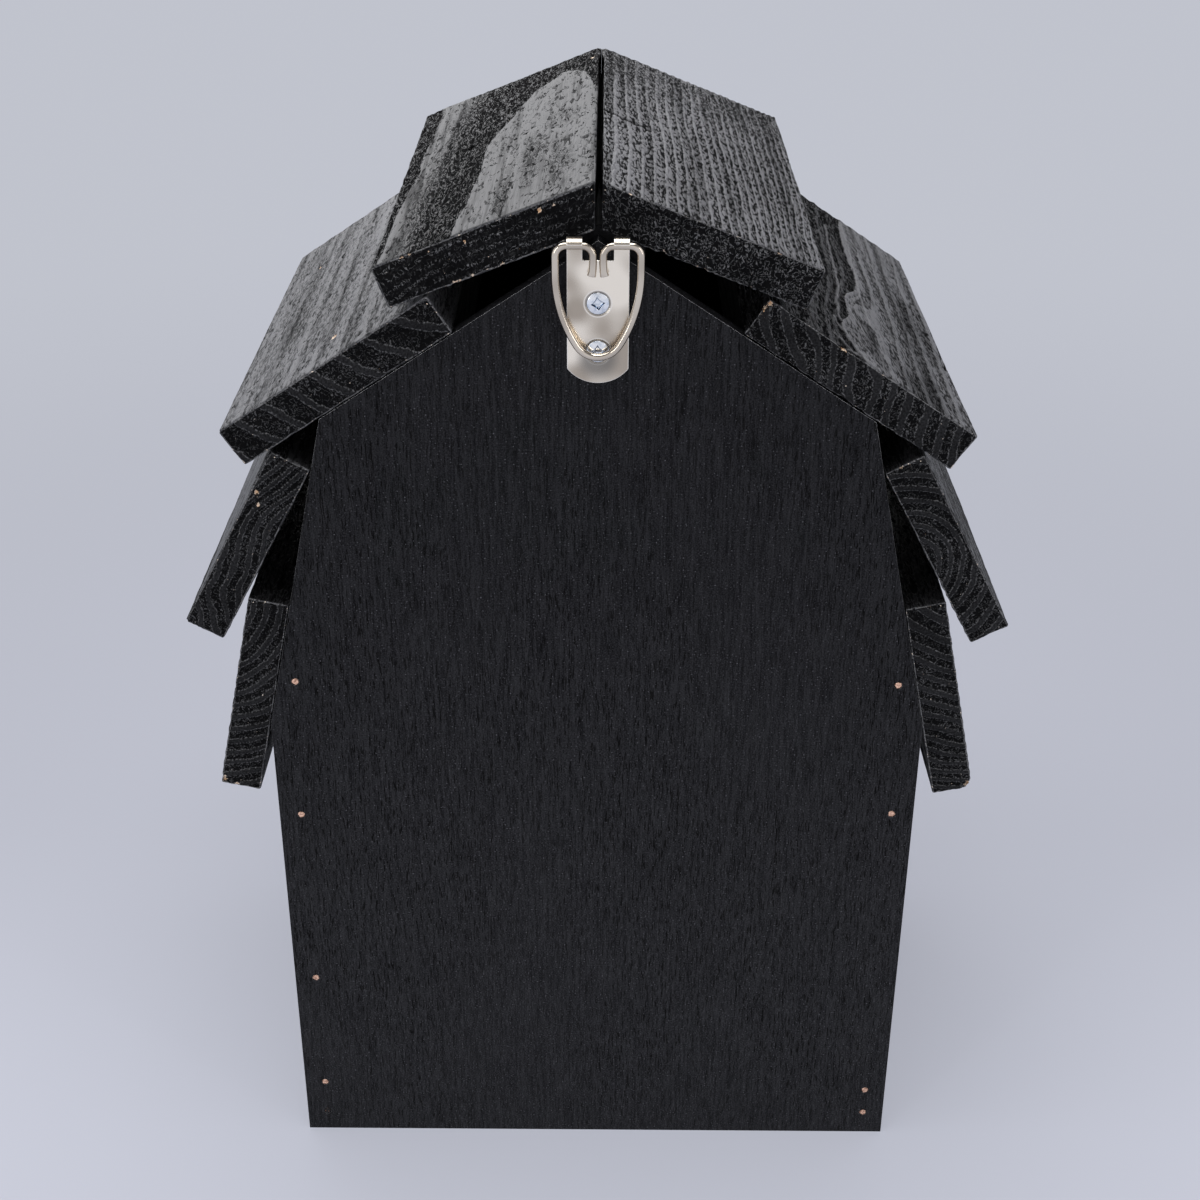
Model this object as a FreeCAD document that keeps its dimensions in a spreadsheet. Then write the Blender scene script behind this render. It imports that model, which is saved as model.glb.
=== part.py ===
import FreeCAD, Part
import math
import os
import Sketcher
from FreeCAD import Placement, Rotation, Vector

# Bat box of black-stained timber: a plywood and board carcass with crevices inside,
# eight lapped cladding boards, and a steel hanger plate with a swinging wire bail.
# Millimetres. +Z is up, -Y is the rear (the side that hangs on the wall), and the
# origin is the centre of the whole box at the level of its lower edge.

SIZES = {
    # Outline of the two gable-shaped panels
    "panel_half_width": 117.5,
    "knee_height": 196.0,
    "shoulder_half_width": 92.0,
    "shoulder_height": 315.0,
    "gable_angle": 33.6,
    "panel_thickness": 6.5,
    "carcass_depth": 175.0,
    "front_panel_lift": 30.0,
    # Walls, cheeks and rails between the panels
    "wall_thickness": 15.0,
    "cheek_thickness": 12.0,
    "rail_thickness": 12.0,
    "rail_width": 36.0,
    "rail_setback": 60.0,
    "beam_half_width": 15.0,
    "beam_height": 50.0,
    # Roost partitions
    "partition_thickness": 8.0,
    "partition_bottom": 45.0,
    "partition_top": 290.0,
    "groove_depth": 4.0,
    "fitting_gap": 0.3,
    "kerf_height": 2.0,
    "kerf_depth": 1.5,
    "kerf_spacing": 15.0,
    "kerf_margin": 12.0,
    # Cladding boards
    "board_thickness": 15.0,
    "board_length": 187.0,
    "board_arris": 0.8,
    "ridge_board_length": 201.0,
    "ridge_board_width": 77.7,
    "ridge_angle": 21.6,
    "ridge_gap": 0.8,
    "second_board_width": 86.0,
    "second_board_setback": 55.8,
    "upper_board_width": 74.5,
    "lower_board_width": 79.5,
    "lower_board_rise": 50.0,
    "lap_gap": 0.4,
    # Hanger plate and bail
    "plate_half_width": 10.0,
    "plate_thickness": 1.5,
    "plate_bottom_drop": 41.5,
    "plate_arc_radius": 12.5,
    "plate_notch_drop": 5.2,
    "plate_notch_half_width": 4.9,
    "knuckle_wrap_angle": 140.0,
    "wire_radius": 1.25,
    "knuckle_clearance": 0.08,
    "bail_axis_height": 375.4,
    "bail_rest_tilt": 2.5,
    "bail_half_width": 13.6,
    "bail_drop": 37.0,
    "bail_widest_drop": 9.0,
    "bail_tip_radius": 8.0,
    "bail_corner_radius": 3.4,
    "bail_leg_offset": 1.6,
    "bail_leg_drop": 9.8,
    # Hanger screws
    "screw_head_radius": 3.6,
    "screw_head_rise": 0.75,
    "screw_shank_radius": 1.6,
    "screw_length": 25.0,
    "screw_clearance": 0.1,
    "screw_recess_width": 1.0,
    "screw_recess_span": 4.2,
    "screw_recess_depth": 1.6,
    "upper_screw_drop": 19.4,
    "lower_screw_drop": 35.6,
    # Panel pins
    "pin_head_radius": 1.4,
    "pin_head_thickness": 1.0,
    "pin_shank_radius": 0.8,
    "pin_length": 20.0,
    "pin_clearance": 0.05,
    "pin_inset": 8.0,
}

# Heights of the pins up each edge of the panels
REAR_LEFT_PIN_HEIGHTS = (9.5, 25.0, 79.0, 156.5)
REAR_RIGHT_PIN_HEIGHTS = (10.5, 22.5, 158.5)
FRONT_PIN_HEIGHTS = (40.0, 98.0, 156.5)
CHEEK_PIN_RISE = 18.0
SIDES = {"left": -1, "right": 1}
PARTITION_COUNT = 4

# A cut that removes less than this, in cubic millimetres, has missed its piece
LEAST_CUT = 0.5
# Largest sideways part, for its length, of an edge that lies along its board
STRAIGHT = 1e-3

doc = FreeCAD.newDocument("BatBox")
sheet = doc.addObject("Spreadsheet::Sheet", "Sizes")
rows = {}


def put(alias, number, table=sheet):
    """Adds one plain number to a sheet and gives it a name."""
    row = rows.get(table.Name, 1)
    table.set("A%d" % row, alias)
    table.set("B%d" % row, repr(float(number)))
    table.setAlias("B%d" % row, alias)
    rows[table.Name] = row + 1
    return number


for size_name, size_value in SIZES.items():
    put(size_name, size_value)
sheet.recompute()


def size(alias):
    """Reads a size back from the sheet."""
    return float(sheet.get(alias))


def bind(target, prop, alias, table=sheet):
    target.setExpression(prop, "%s.%s" % (table.Name, alias))


# Lines of the gable outline, worked out from the driving sizes
half_width = size("panel_half_width")
shoulder_half = size("shoulder_half_width")
knee_z = size("knee_height")
shoulder_z = size("shoulder_height")
gable = math.radians(size("gable_angle"))
peak_z = shoulder_z + shoulder_half * math.tan(gable)
panel_t = size("panel_thickness")
board_t = size("board_thickness")

axis_y_offset = size("wire_radius") + size("knuckle_clearance") + size("plate_thickness")
bail_tilt = math.radians(size("bail_rest_tilt"))
hanger_depth = axis_y_offset + size("bail_drop") * math.sin(bail_tilt) + size("wire_radius")
rear_y = -(size("ridge_board_length") - hanger_depth) / 2
front_y = rear_y + size("carcass_depth")
inner_rear_y = rear_y + panel_t
inner_front_y = front_y - panel_t
inner_depth = put("inner_depth", inner_front_y - inner_rear_y)
gap = size("fitting_gap")

# Unit vectors of the right-hand side, as (x, z) pairs
taper_run = math.hypot(half_width - shoulder_half, shoulder_z - knee_z)
taper_up = ((shoulder_half - half_width) / taper_run, (shoulder_z - knee_z) / taper_run)
taper_out = (taper_up[1], -taper_up[0])
gable_down = (math.cos(gable), -math.sin(gable))
gable_out = (math.sin(gable), math.cos(gable))


def along(start, direction, distance):
    return (start[0] + direction[0] * distance, start[1] + direction[1] * distance)


def taper_x(z, inset=0.0):
    """Half width of the tapered stretch at a height, less an inset square to the edge."""
    return half_width + (z - knee_z) * taper_up[0] / taper_up[1] - inset / taper_up[1]


tables = {}


def plane(body, role):
    for feature in body.Origin.OriginFeatures:
        if feature.Role == role:
            return feature
    raise ValueError(role)


def new_body(label):
    """A body with a small sheet of its own for the places of its corners and holes."""
    tables[label] = doc.addObject("Spreadsheet::Sheet", label + "_places")
    body = doc.addObject("PartDesign::Body", label)
    body.Label = label
    return body


def new_sketch(body, name, role, offset=0.0):
    sketch = body.newObject("Sketcher::SketchObject", name)
    sketch.AttachmentSupport = [(plane(body, role), "")]
    sketch.MapMode = "FlatFace"
    sketch.AttachmentOffset = Placement(Vector(0, 0, offset), Rotation())
    return sketch


def fix_point(sketch, geometry, point, x, y, tag, axes="XY"):
    """Holds one point of a sketch at a place that is kept in its body's own sheet."""
    table = tables[sketch.getParentGeoFeatureGroup().Name]
    for axis in axes:
        number = x if axis == "X" else y
        alias = tag + ("_across" if axis == "X" else "_up")
        put(alias, number, table)
        index = sketch.addConstraint(Sketcher.Constraint("Distance" + axis, -1, 1, geometry, point, number))
        bind(sketch, "Constraints[%d]" % index, alias, table)


def polygon(sketch, points, tag):
    """Draws a closed outline whose corners are bound to the sheet."""
    count = len(points)
    first = sketch.GeometryCount
    for i in range(count):
        start = Vector(points[i][0], points[i][1], 0)
        end = Vector(points[(i + 1) % count][0], points[(i + 1) % count][1], 0)
        sketch.addGeometry(Part.LineSegment(start, end), False)
    for i in range(count):
        sketch.addConstraint(Sketcher.Constraint("Coincident", first + i, 2, first + (i + 1) % count, 1))
    for i in range(count):
        fix_point(sketch, first + i, 1, points[i][0], points[i][1], "%s_corner_%d" % (tag, i))


def circle(sketch, x, y, radius_alias, tag):
    radius = size(radius_alias)
    index = sketch.addGeometry(Part.Circle(Vector(x, y, 0), Vector(0, 0, 1), radius), False)
    constraint = sketch.addConstraint(Sketcher.Constraint("Radius", index, radius))
    bind(sketch, "Constraints[%d]" % constraint, radius_alias)
    fix_point(sketch, index, 3, x, y, tag)


def pad(body, sketch, length_alias, reverse):
    feature = body.newObject("PartDesign::Pad", "Pad")
    feature.Profile = sketch
    bind(feature, "Length", length_alias)
    feature.Reversed = reverse
    doc.recompute()
    return feature


def pocket(body, sketch, length_alias, reverse):
    before = body.Shape.Volume
    feature = body.newObject("PartDesign::Pocket", "Pocket")
    feature.Profile = sketch
    bind(feature, "Length", length_alias)
    feature.Reversed = reverse
    doc.recompute()
    if body.Shape.Volume > before - LEAST_CUT:
        raise ValueError("pocket cut nothing in " + body.Label)
    return feature


def repeat(body, feature, role_axis, count_alias, length_alias, reverse=False):
    """Repeats a cut along an axis of the body."""
    before = body.Shape.Volume
    pattern = body.newObject("PartDesign::LinearPattern", "Pattern")
    pattern.Originals = [feature]
    pattern.Direction = (plane(body, role_axis), [""])
    pattern.Reversed = reverse
    bind(pattern, "Length", length_alias)
    bind(pattern, "Occurrences", count_alias)
    body.Tip = pattern
    doc.recompute()
    if body.Shape.Volume > before - LEAST_CUT:
        raise ValueError("pattern cut nothing in " + body.Label)
    return pattern


def slab(label, points, start_y, length_alias):
    """A piece with one outline in the XZ plane, carried back along +Y from start_y."""
    body = new_body(label)
    sketch = new_sketch(body, label + "_outline", "XZ_Plane")
    polygon(sketch, points, label)
    pad(body, sketch, length_alias, True)
    body.Placement = Placement(Vector(0, start_y, 0), Rotation())
    doc.recompute()
    return body


def soften(body, alias):
    """Rounds the long edges of a board, no further than its own size allows."""
    base = body.Tip
    names = []
    for number, edge in enumerate(base.Shape.Edges, 1):
        direction = (edge.lastVertex().Point - edge.firstVertex().Point).normalize()
        if math.hypot(direction.x, direction.z) < STRAIGHT:
            names.append("Edge%d" % number)
    fillet = body.newObject("PartDesign::Fillet", "Arris")
    fillet.Base = (base, names)
    bind(fillet, "Radius", alias)
    doc.recompute()


# Sizes worked out from the driving ones, which the pieces share
put("pin_hole_radius", size("pin_shank_radius") + size("pin_clearance"))
put("pin_head_hole_radius", size("pin_head_radius") + size("pin_clearance"))
put("pin_depth_in_wall", size("pin_length") - panel_t + gap)
put("screw_hole_radius", size("screw_shank_radius") + size("screw_clearance"))
put("screw_seat_radius", size("screw_head_radius") - size("plate_thickness") + 2 * size("screw_clearance"))
put("screw_seat_depth", size("screw_head_radius") - size("plate_thickness") - size("screw_shank_radius"))
put("screw_depth_in_beam", size("screw_length") - panel_t + gap)
put("sink_radius", size("screw_head_radius") + 2 * size("screw_clearance"))
put("sink_back_radius", size("screw_head_radius") - size("plate_thickness") + 2 * size("screw_clearance"))
put("ear_width", size("plate_half_width") - size("plate_notch_half_width"))
partition_t = size("partition_thickness")
chamber_depth = (inner_depth - PARTITION_COUNT * partition_t) / (PARTITION_COUNT + 1)
partition_pitch = chamber_depth + partition_t
put("partition_count", PARTITION_COUNT)
put("partition_span", partition_pitch * (PARTITION_COUNT - 1))
partition_top = size("partition_top")
kerf_low = size("partition_bottom") + size("kerf_margin")
kerf_count = int((partition_top - size("kerf_margin") - kerf_low) / size("kerf_spacing")) + 1
put("kerf_count", kerf_count)
put("kerf_span", size("kerf_spacing") * (kerf_count - 1))
sheet.recompute()

wall_inner_x = half_width - size("wall_thickness")
axis_z = size("bail_axis_height")
screw_heights = (axis_z - size("upper_screw_drop"), axis_z - size("lower_screw_drop"))

# Panels


def panel_points(bottom_z):
    return [
        (-half_width, bottom_z),
        (half_width, bottom_z),
        (half_width, knee_z),
        (shoulder_half, shoulder_z),
        (0.0, peak_z),
        (-shoulder_half, shoulder_z),
        (-half_width, knee_z),
    ]


def pin_places(left_heights, right_heights):
    """Pin centres as (x, z): up the walls, and one a little above each knee into the cheek."""
    inset = size("pin_inset")
    cheek_z = knee_z + CHEEK_PIN_RISE
    cheek_x = taper_x(cheek_z, size("cheek_thickness") / 2)
    centres = []
    for side, heights in ((-1, left_heights), (1, right_heights)):
        for height in heights:
            centres.append((side * (half_width - inset), height))
        centres.append((side * cheek_x, cheek_z))
    return centres


rear_pins = pin_places(REAR_LEFT_PIN_HEIGHTS, REAR_RIGHT_PIN_HEIGHTS)
front_pins = pin_places(FRONT_PIN_HEIGHTS, FRONT_PIN_HEIGHTS)


def drill_panel(body, centres, face_offset, outward):
    """Cuts the pin holes: a wide seat for each head and a narrow way through."""
    heads = new_sketch(body, body.Label + "_heads", "XZ_Plane", face_offset)
    shanks = new_sketch(body, body.Label + "_shanks", "XZ_Plane", face_offset)
    for i, (x, z) in enumerate(centres):
        circle(heads, x, z, "pin_head_hole_radius", "%s_head_%d" % (body.Label, i))
        circle(shanks, x, z, "pin_hole_radius", "%s_shank_%d" % (body.Label, i))
    doc.recompute()
    pocket(body, heads, "pin_head_thickness", outward)
    pocket(body, shanks, "panel_thickness", outward)


back_panel = slab("back_panel", panel_points(0.0), rear_y, "panel_thickness")
drill_panel(back_panel, rear_pins, 0.0, False)
seat = new_sketch(back_panel, "screw_seats", "XZ_Plane")
holes = new_sketch(back_panel, "screw_holes", "XZ_Plane")
for i, height in enumerate(screw_heights):
    circle(seat, 0.0, height, "screw_seat_radius", "screw_seat_%d" % i)
    circle(holes, 0.0, height, "screw_hole_radius", "screw_hole_%d" % i)
doc.recompute()
pocket(back_panel, seat, "screw_seat_depth", False)
pocket(back_panel, holes, "panel_thickness", False)

front_panel = slab("front_panel", panel_points(size("front_panel_lift")), inner_front_y, "panel_thickness")
drill_panel(front_panel, front_pins, -panel_t, True)

# Side walls, with stopped grooves that hold the partitions


def drill_end(body, label, places, offset, reverse):
    """Cuts the blind pin holes in one end of a wall or a cheek."""
    ends = new_sketch(body, label, "XZ_Plane", offset)
    for i, (x, z) in enumerate(places):
        circle(ends, x, z, "pin_hole_radius", "%s_%d" % (label, i))
    doc.recompute()
    pocket(body, ends, "pin_depth_in_wall", reverse)


def side_wall(name, side):
    label = name + "_side_wall"
    points = [
        (side * wall_inner_x, 0.0),
        (side * half_width, 0.0),
        (side * half_width, knee_z),
        (side * wall_inner_x, knee_z),
    ]
    body = slab(label, points, inner_rear_y, "inner_depth")
    groove = new_sketch(body, label + "_groove", "YZ_Plane", side * wall_inner_x)
    low_y = chamber_depth - gap
    high_y = chamber_depth + partition_t + gap
    low_z = size("partition_bottom") - gap
    polygon(groove, [(low_y, low_z), (high_y, low_z), (high_y, knee_z), (low_y, knee_z)], label + "_groove")
    cut = pocket(body, groove, "groove_depth", side > 0)
    repeat(body, cut, "Y_Axis", "partition_count", "partition_span")
    rear = [p for p in rear_pins if p[0] * side > 0 and p[1] < knee_z]
    front = [p for p in front_pins if p[0] * side > 0 and p[1] < knee_z]
    drill_end(body, label + "_rear_pin", rear, 0.0, False)
    drill_end(body, label + "_front_pin", front, -size("inner_depth"), True)
    return body


for name, side in SIDES.items():
    side_wall(name, side)

# Tapered cheeks above the walls

cheek_t = size("cheek_thickness")


def cheek(name, side):
    label = name + "_cheek"
    top_inner = along((shoulder_half, shoulder_z), taper_out, -cheek_t)
    points = [
        (side * half_width, knee_z),
        (side * shoulder_half, shoulder_z),
        (side * top_inner[0], top_inner[1]),
        (side * taper_x(knee_z, cheek_t), knee_z),
    ]
    body = slab(label, points, inner_rear_y, "inner_depth")
    rear = [p for p in rear_pins if p[0] * side > 0 and p[1] > knee_z]
    front = [p for p in front_pins if p[0] * side > 0 and p[1] > knee_z]
    drill_end(body, label + "_rear_pin", rear, 0.0, False)
    drill_end(body, label + "_front_pin", front, -size("inner_depth"), True)
    return body


for name, side in SIDES.items():
    cheek(name, side)

# Rails under the gable slopes, and the ridge beam that takes the hanger screws

for name, side in SIDES.items():
    top = along((0.0, peak_z), gable_down, size("rail_setback"))
    foot = along(top, gable_down, size("rail_width"))
    deep_foot = along(foot, gable_out, -size("rail_thickness"))
    deep_top = along(top, gable_out, -size("rail_thickness"))
    corners = [(side * x, z) for x, z in (top, foot, deep_foot, deep_top)]
    slab(name + "_gable_rail", corners, inner_rear_y, "inner_depth")

second_inner = along((0.0, peak_z), gable_down, size("second_board_setback"))
second_top_corner = along(second_inner, gable_out, board_t)
pitch = math.radians(size("ridge_angle"))
ridge_under_z = second_top_corner[1] + second_top_corner[0] * math.tan(pitch)
beam_x = size("beam_half_width")
beam_side_z = ridge_under_z - beam_x * math.tan(pitch)
beam_foot_z = ridge_under_z - size("beam_height")
ridge_beam = slab(
    "ridge_beam",
    [(-beam_x, beam_foot_z), (beam_x, beam_foot_z), (beam_x, beam_side_z), (0.0, ridge_under_z), (-beam_x, beam_side_z)],
    inner_rear_y,
    "inner_depth",
)
pilot = new_sketch(ridge_beam, "beam_screw_holes", "XZ_Plane")
for i, height in enumerate(screw_heights):
    circle(pilot, 0.0, height, "screw_hole_radius", "beam_screw_hole_%d" % i)
doc.recompute()
pocket(ridge_beam, pilot, "screw_depth_in_beam", False)

# Roost partitions, grooved across the rear face so that feet can grip


def partition(number):
    label = "roost_partition_%d" % number
    edge = wall_inner_x + size("groove_depth") - gap
    knee_edge = taper_x(knee_z, cheek_t) - gap
    top_edge = taper_x(partition_top, cheek_t) - gap
    bottom = size("partition_bottom")
    step_z = knee_z - gap
    right = [(edge, bottom), (edge, step_z), (knee_edge, step_z), (top_edge, partition_top)]
    left = [(-x, z) for x, z in reversed(right)]
    start_y = inner_rear_y + chamber_depth + (number - 1) * partition_pitch
    body = slab(label, right + left, start_y, "partition_thickness")
    kerf = new_sketch(body, label + "_kerf", "XZ_Plane")
    reach = half_width
    high = kerf_low + size("kerf_height")
    polygon(kerf, [(-reach, kerf_low), (reach, kerf_low), (reach, high), (-reach, high)], label + "_kerf")
    cut = pocket(body, kerf, "kerf_depth", False)
    repeat(body, cut, "Z_Axis", "kerf_count", "kerf_span")
    return body


for number in range(1, PARTITION_COUNT + 1):
    partition(number)

# Cladding boards


def board(label, side, corner, angle, points, length_alias):
    """A board drawn flat, then turned about its inner lower corner to its slope."""
    body = new_body(label)
    sketch = new_sketch(body, label + "_section", "XZ_Plane")
    polygon(sketch, [(side * x, z) for x, z in points], label)
    pad(body, sketch, length_alias, True)
    soften(body, "board_arris")
    place = Vector(side * corner[0], rear_y, corner[1])
    body.Placement = Placement(place, Rotation(Vector(0, 1, 0), side * math.degrees(angle)))
    doc.recompute()
    return body


def plain_section(width):
    return [(0.0, 0.0), (width, 0.0), (width, board_t), (0.0, board_t)]


# Each lower board lies along the taper, and its top stands a set rise above the knee
lower_top_inner = along((half_width, knee_z), taper_up, size("lower_board_rise"))
lower_top_outer = along(lower_top_inner, taper_out, board_t)
lower_angle = math.atan2(taper_up[1], -taper_up[0])


def upper_board_seat():
    """Finds where the upper board leans: its top inner corner on the taper, its inner face
    just off the lower board's top outer corner, its top outer corner under the gable line."""
    low, high = size("lower_board_rise"), taper_run
    for _ in range(50):
        rise = (low + high) / 2
        corner = along((half_width, knee_z), taper_up, rise)
        dx = lower_top_outer[0] - corner[0]
        dz = corner[1] - lower_top_outer[1]
        lean = math.atan2(dz, dx) - math.asin(min(1.0, size("lap_gap") / math.hypot(dx, dz)))
        top_outer = along(corner, (math.sin(lean), math.cos(lean)), board_t)
        line_z = peak_z - top_outer[0] * math.tan(gable)
        if top_outer[1] > line_z:
            high = rise
        else:
            low = rise
    return corner, lean


upper_top_inner, upper_angle = upper_board_seat()
mitre = board_t * math.tan(pitch)
ridge_run = size("ridge_board_width") - mitre
ridge_section = [(0.0, 0.0), (ridge_run, 0.0), (ridge_run, board_t), (-mitre, board_t)]
ridge_corner_x = size("ridge_gap") / 2
ridge_corner = (ridge_corner_x, ridge_under_z - ridge_corner_x * math.tan(pitch))

for name, side in SIDES.items():
    board("ridge_board_" + name, side, ridge_corner, pitch, ridge_section, "ridge_board_length")
    board("second_board_" + name, side, second_inner, gable,
          plain_section(size("second_board_width")), "board_length")
    board("upper_side_board_" + name, side, upper_top_inner, upper_angle,
          plain_section(size("upper_board_width")), "board_length")
    board("lower_side_board_" + name, side, lower_top_inner, lower_angle,
          plain_section(size("lower_board_width")), "board_length")

# Hanger plate: one strip of sheet, notched at the top, its two ears rolled forward

plate_half = size("plate_half_width")
plate_t = size("plate_thickness")
notch_half = size("plate_notch_half_width")
notch_z = axis_z - size("plate_notch_drop")
arc_radius = size("plate_arc_radius")
plate_low_z = axis_z - size("plate_bottom_drop")
arc_centre_z = plate_low_z + math.sqrt(arc_radius ** 2 - plate_half ** 2)
plate_tip_z = arc_centre_z - arc_radius

hanger_plate = new_body("hanger_plate")
outline = new_sketch(hanger_plate, "plate_outline", "XZ_Plane")
plate_corners = [
    (plate_half, plate_low_z),
    (plate_half, axis_z),
    (notch_half, axis_z),
    (notch_half, notch_z),
    (-notch_half, notch_z),
    (-notch_half, axis_z),
    (-plate_half, axis_z),
    (-plate_half, plate_low_z),
]
for i in range(len(plate_corners) - 1):
    outline.addGeometry(Part.LineSegment(Vector(*plate_corners[i], 0), Vector(*plate_corners[i + 1], 0)), False)
tip = Part.Arc(
    Vector(-plate_half, plate_low_z, 0), Vector(0, plate_tip_z, 0), Vector(plate_half, plate_low_z, 0)
)
arc_index = outline.addGeometry(tip, False)
for i in range(len(plate_corners) - 2):
    outline.addConstraint(Sketcher.Constraint("Coincident", i, 2, i + 1, 1))
for i, (x, z) in enumerate(plate_corners[:-1]):
    fix_point(outline, i, 1, x, z, "plate_corner_%d" % i)
fix_point(outline, len(plate_corners) - 2, 2, plate_corners[-1][0], plate_corners[-1][1], "plate_last_corner")
outline.addConstraint(Sketcher.Constraint("Coincident", len(plate_corners) - 2, 2, arc_index, 1))
outline.addConstraint(Sketcher.Constraint("Coincident", arc_index, 2, 0, 1))
radius_index = outline.addConstraint(Sketcher.Constraint("Radius", arc_index, arc_radius))
bind(outline, "Constraints[%d]" % radius_index, "plate_arc_radius")
doc.recompute()
pad(hanger_plate, outline, "plate_thickness", False)

wrap = math.radians(size("knuckle_wrap_angle"))
outer_radius = axis_y_offset
inner_radius = outer_radius - plate_t


def ear_point(radius, angle):
    """A point of the rolled ear: angle 0 is at the plate, a quarter turn is on top."""
    return Vector(-axis_y_offset + radius * math.cos(angle), axis_z + radius * math.sin(angle), 0)


for name, side in SIDES.items():
    start_x = notch_half if side > 0 else -plate_half
    roll = new_sketch(hanger_plate, "ear_section_" + name, "YZ_Plane", start_x)
    outer = Part.Arc(ear_point(outer_radius, 0), ear_point(outer_radius, wrap / 2), ear_point(outer_radius, wrap))
    inner = Part.Arc(ear_point(inner_radius, 0), ear_point(inner_radius, wrap / 2), ear_point(inner_radius, wrap))
    roll.addGeometry(outer, False)
    roll.addGeometry(inner, False)
    roll.addGeometry(Part.LineSegment(ear_point(outer_radius, 0), ear_point(inner_radius, 0)), False)
    roll.addGeometry(Part.LineSegment(ear_point(outer_radius, wrap), ear_point(inner_radius, wrap)), False)
    for arc, line_end in ((0, 1), (1, 2)):
        roll.addConstraint(Sketcher.Constraint("Coincident", arc, 1, 2, line_end))
        roll.addConstraint(Sketcher.Constraint("Coincident", arc, 2, 3, line_end))
    fix_point(roll, 0, 3, -axis_y_offset, axis_z, "ear_axis_" + name)
    fix_point(roll, 1, 3, -axis_y_offset, axis_z, "ear_inner_axis_" + name)
    fix_point(roll, 2, 1, 0.0, axis_z, "ear_root_" + name)
    fix_point(roll, 2, 2, -plate_t, axis_z, "ear_front_root_" + name)
    lip = ear_point(outer_radius, wrap)
    inner_lip = ear_point(inner_radius, wrap)
    fix_point(roll, 3, 1, lip.x, lip.y, "ear_lip_" + name, "X")
    fix_point(roll, 3, 2, inner_lip.x, inner_lip.y, "ear_inner_lip_" + name, "X")
    doc.recompute()
    pad(hanger_plate, roll, "ear_width", False)

for i, height in enumerate(screw_heights):
    before = hanger_plate.Shape.Volume
    sink = hanger_plate.newObject("PartDesign::SubtractiveCone", "Countersink")
    sink.AttachmentSupport = [(plane(hanger_plate, "XZ_Plane"), "")]
    sink.MapMode = "FlatFace"
    sink.AttachmentOffset = Placement(Vector(0, height, 0), Rotation())
    bind(sink, "Radius1", "sink_back_radius")
    bind(sink, "Radius2", "sink_radius")
    bind(sink, "Height", "plate_thickness")
    doc.recompute()
    if hanger_plate.Shape.Volume > before - LEAST_CUT:
        raise ValueError("countersink cut nothing")
hanger_plate.Placement = Placement(Vector(0, rear_y, 0), Rotation())

# Hanger bail: one heart-shaped wire, drawn with its swinging axis at its own origin

bail_half = size("bail_half_width")
bail_drop = size("bail_drop")
widest = -size("bail_widest_drop")
tip_r = size("bail_tip_radius")
corner_r = size("bail_corner_radius")
leg_x = size("bail_leg_offset")
leg_drop = size("bail_leg_drop")
tip_centre_z = -bail_drop + tip_r
# The long side arc touches the upright at its widest point and the tip arc from inside
rise_between = tip_centre_z - widest
side_r = (bail_half ** 2 + rise_between ** 2 - tip_r ** 2) / (2 * (bail_half - tip_r))
side_centre_x = bail_half - side_r
reach = math.hypot(side_centre_x, rise_between)
tangent = (-side_centre_x / reach * tip_r, tip_centre_z + rise_between / reach * tip_r)
side_start = math.atan2(tangent[1] - widest, tangent[0] - side_centre_x)
side_mid = (side_centre_x + side_r * math.cos(side_start / 2), widest + side_r * math.sin(side_start / 2))
diagonal = corner_r * math.sqrt(0.5)

half_path = [
    ("line", (leg_x, -leg_drop), (leg_x, -corner_r)),
    ("arc", (leg_x, -corner_r), (leg_x + corner_r - diagonal, -corner_r + diagonal), (leg_x + corner_r, 0.0)),
    ("line", (leg_x + corner_r, 0.0), (bail_half - corner_r, 0.0)),
    ("arc", (bail_half - corner_r, 0.0), (bail_half - corner_r + diagonal, -corner_r + diagonal),
     (bail_half, -corner_r)),
    ("line", (bail_half, -corner_r), (bail_half, widest)),
    ("arc", (bail_half, widest), side_mid, tangent),
]


def wire_edge(kind, points, side):
    vectors = [Vector(side * x, z, 0) for x, z in points]
    if kind == "line":
        return Part.LineSegment(*vectors)
    return Part.Arc(*vectors)


hanger_bail = new_body("hanger_bail")
spine = new_sketch(hanger_bail, "bail_path", "XZ_Plane")
for kind, *points in half_path:
    spine.addGeometry(wire_edge(kind, points, 1), False)
tip_points = [tangent, (0.0, -bail_drop), (-tangent[0], tangent[1])]
spine.addGeometry(wire_edge("arc", tip_points, 1), False)
for kind, *points in reversed(half_path):
    spine.addGeometry(wire_edge(kind, list(reversed(points)), -1), False)
section = new_sketch(hanger_bail, "bail_section", "XY_Plane", -leg_drop)
circle(section, leg_x, 0.0, "wire_radius", "bail_section_centre")
doc.recompute()
pipe = hanger_bail.newObject("PartDesign::AdditivePipe", "Wire")
pipe.Profile = section
pipe.Spine = spine
doc.recompute()
hanger_bail.Placement = Placement(
    Vector(0, rear_y - axis_y_offset, axis_z), Rotation(Vector(1, 0, 0), -size("bail_rest_tilt"))
)

# Hanger screws: raised countersunk heads with a cross recess

head_r = size("screw_head_radius")
head_rise = size("screw_head_rise")
shank_r = size("screw_shank_radius")
screw_len = size("screw_length")
cone_depth = head_r - shank_r


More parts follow.
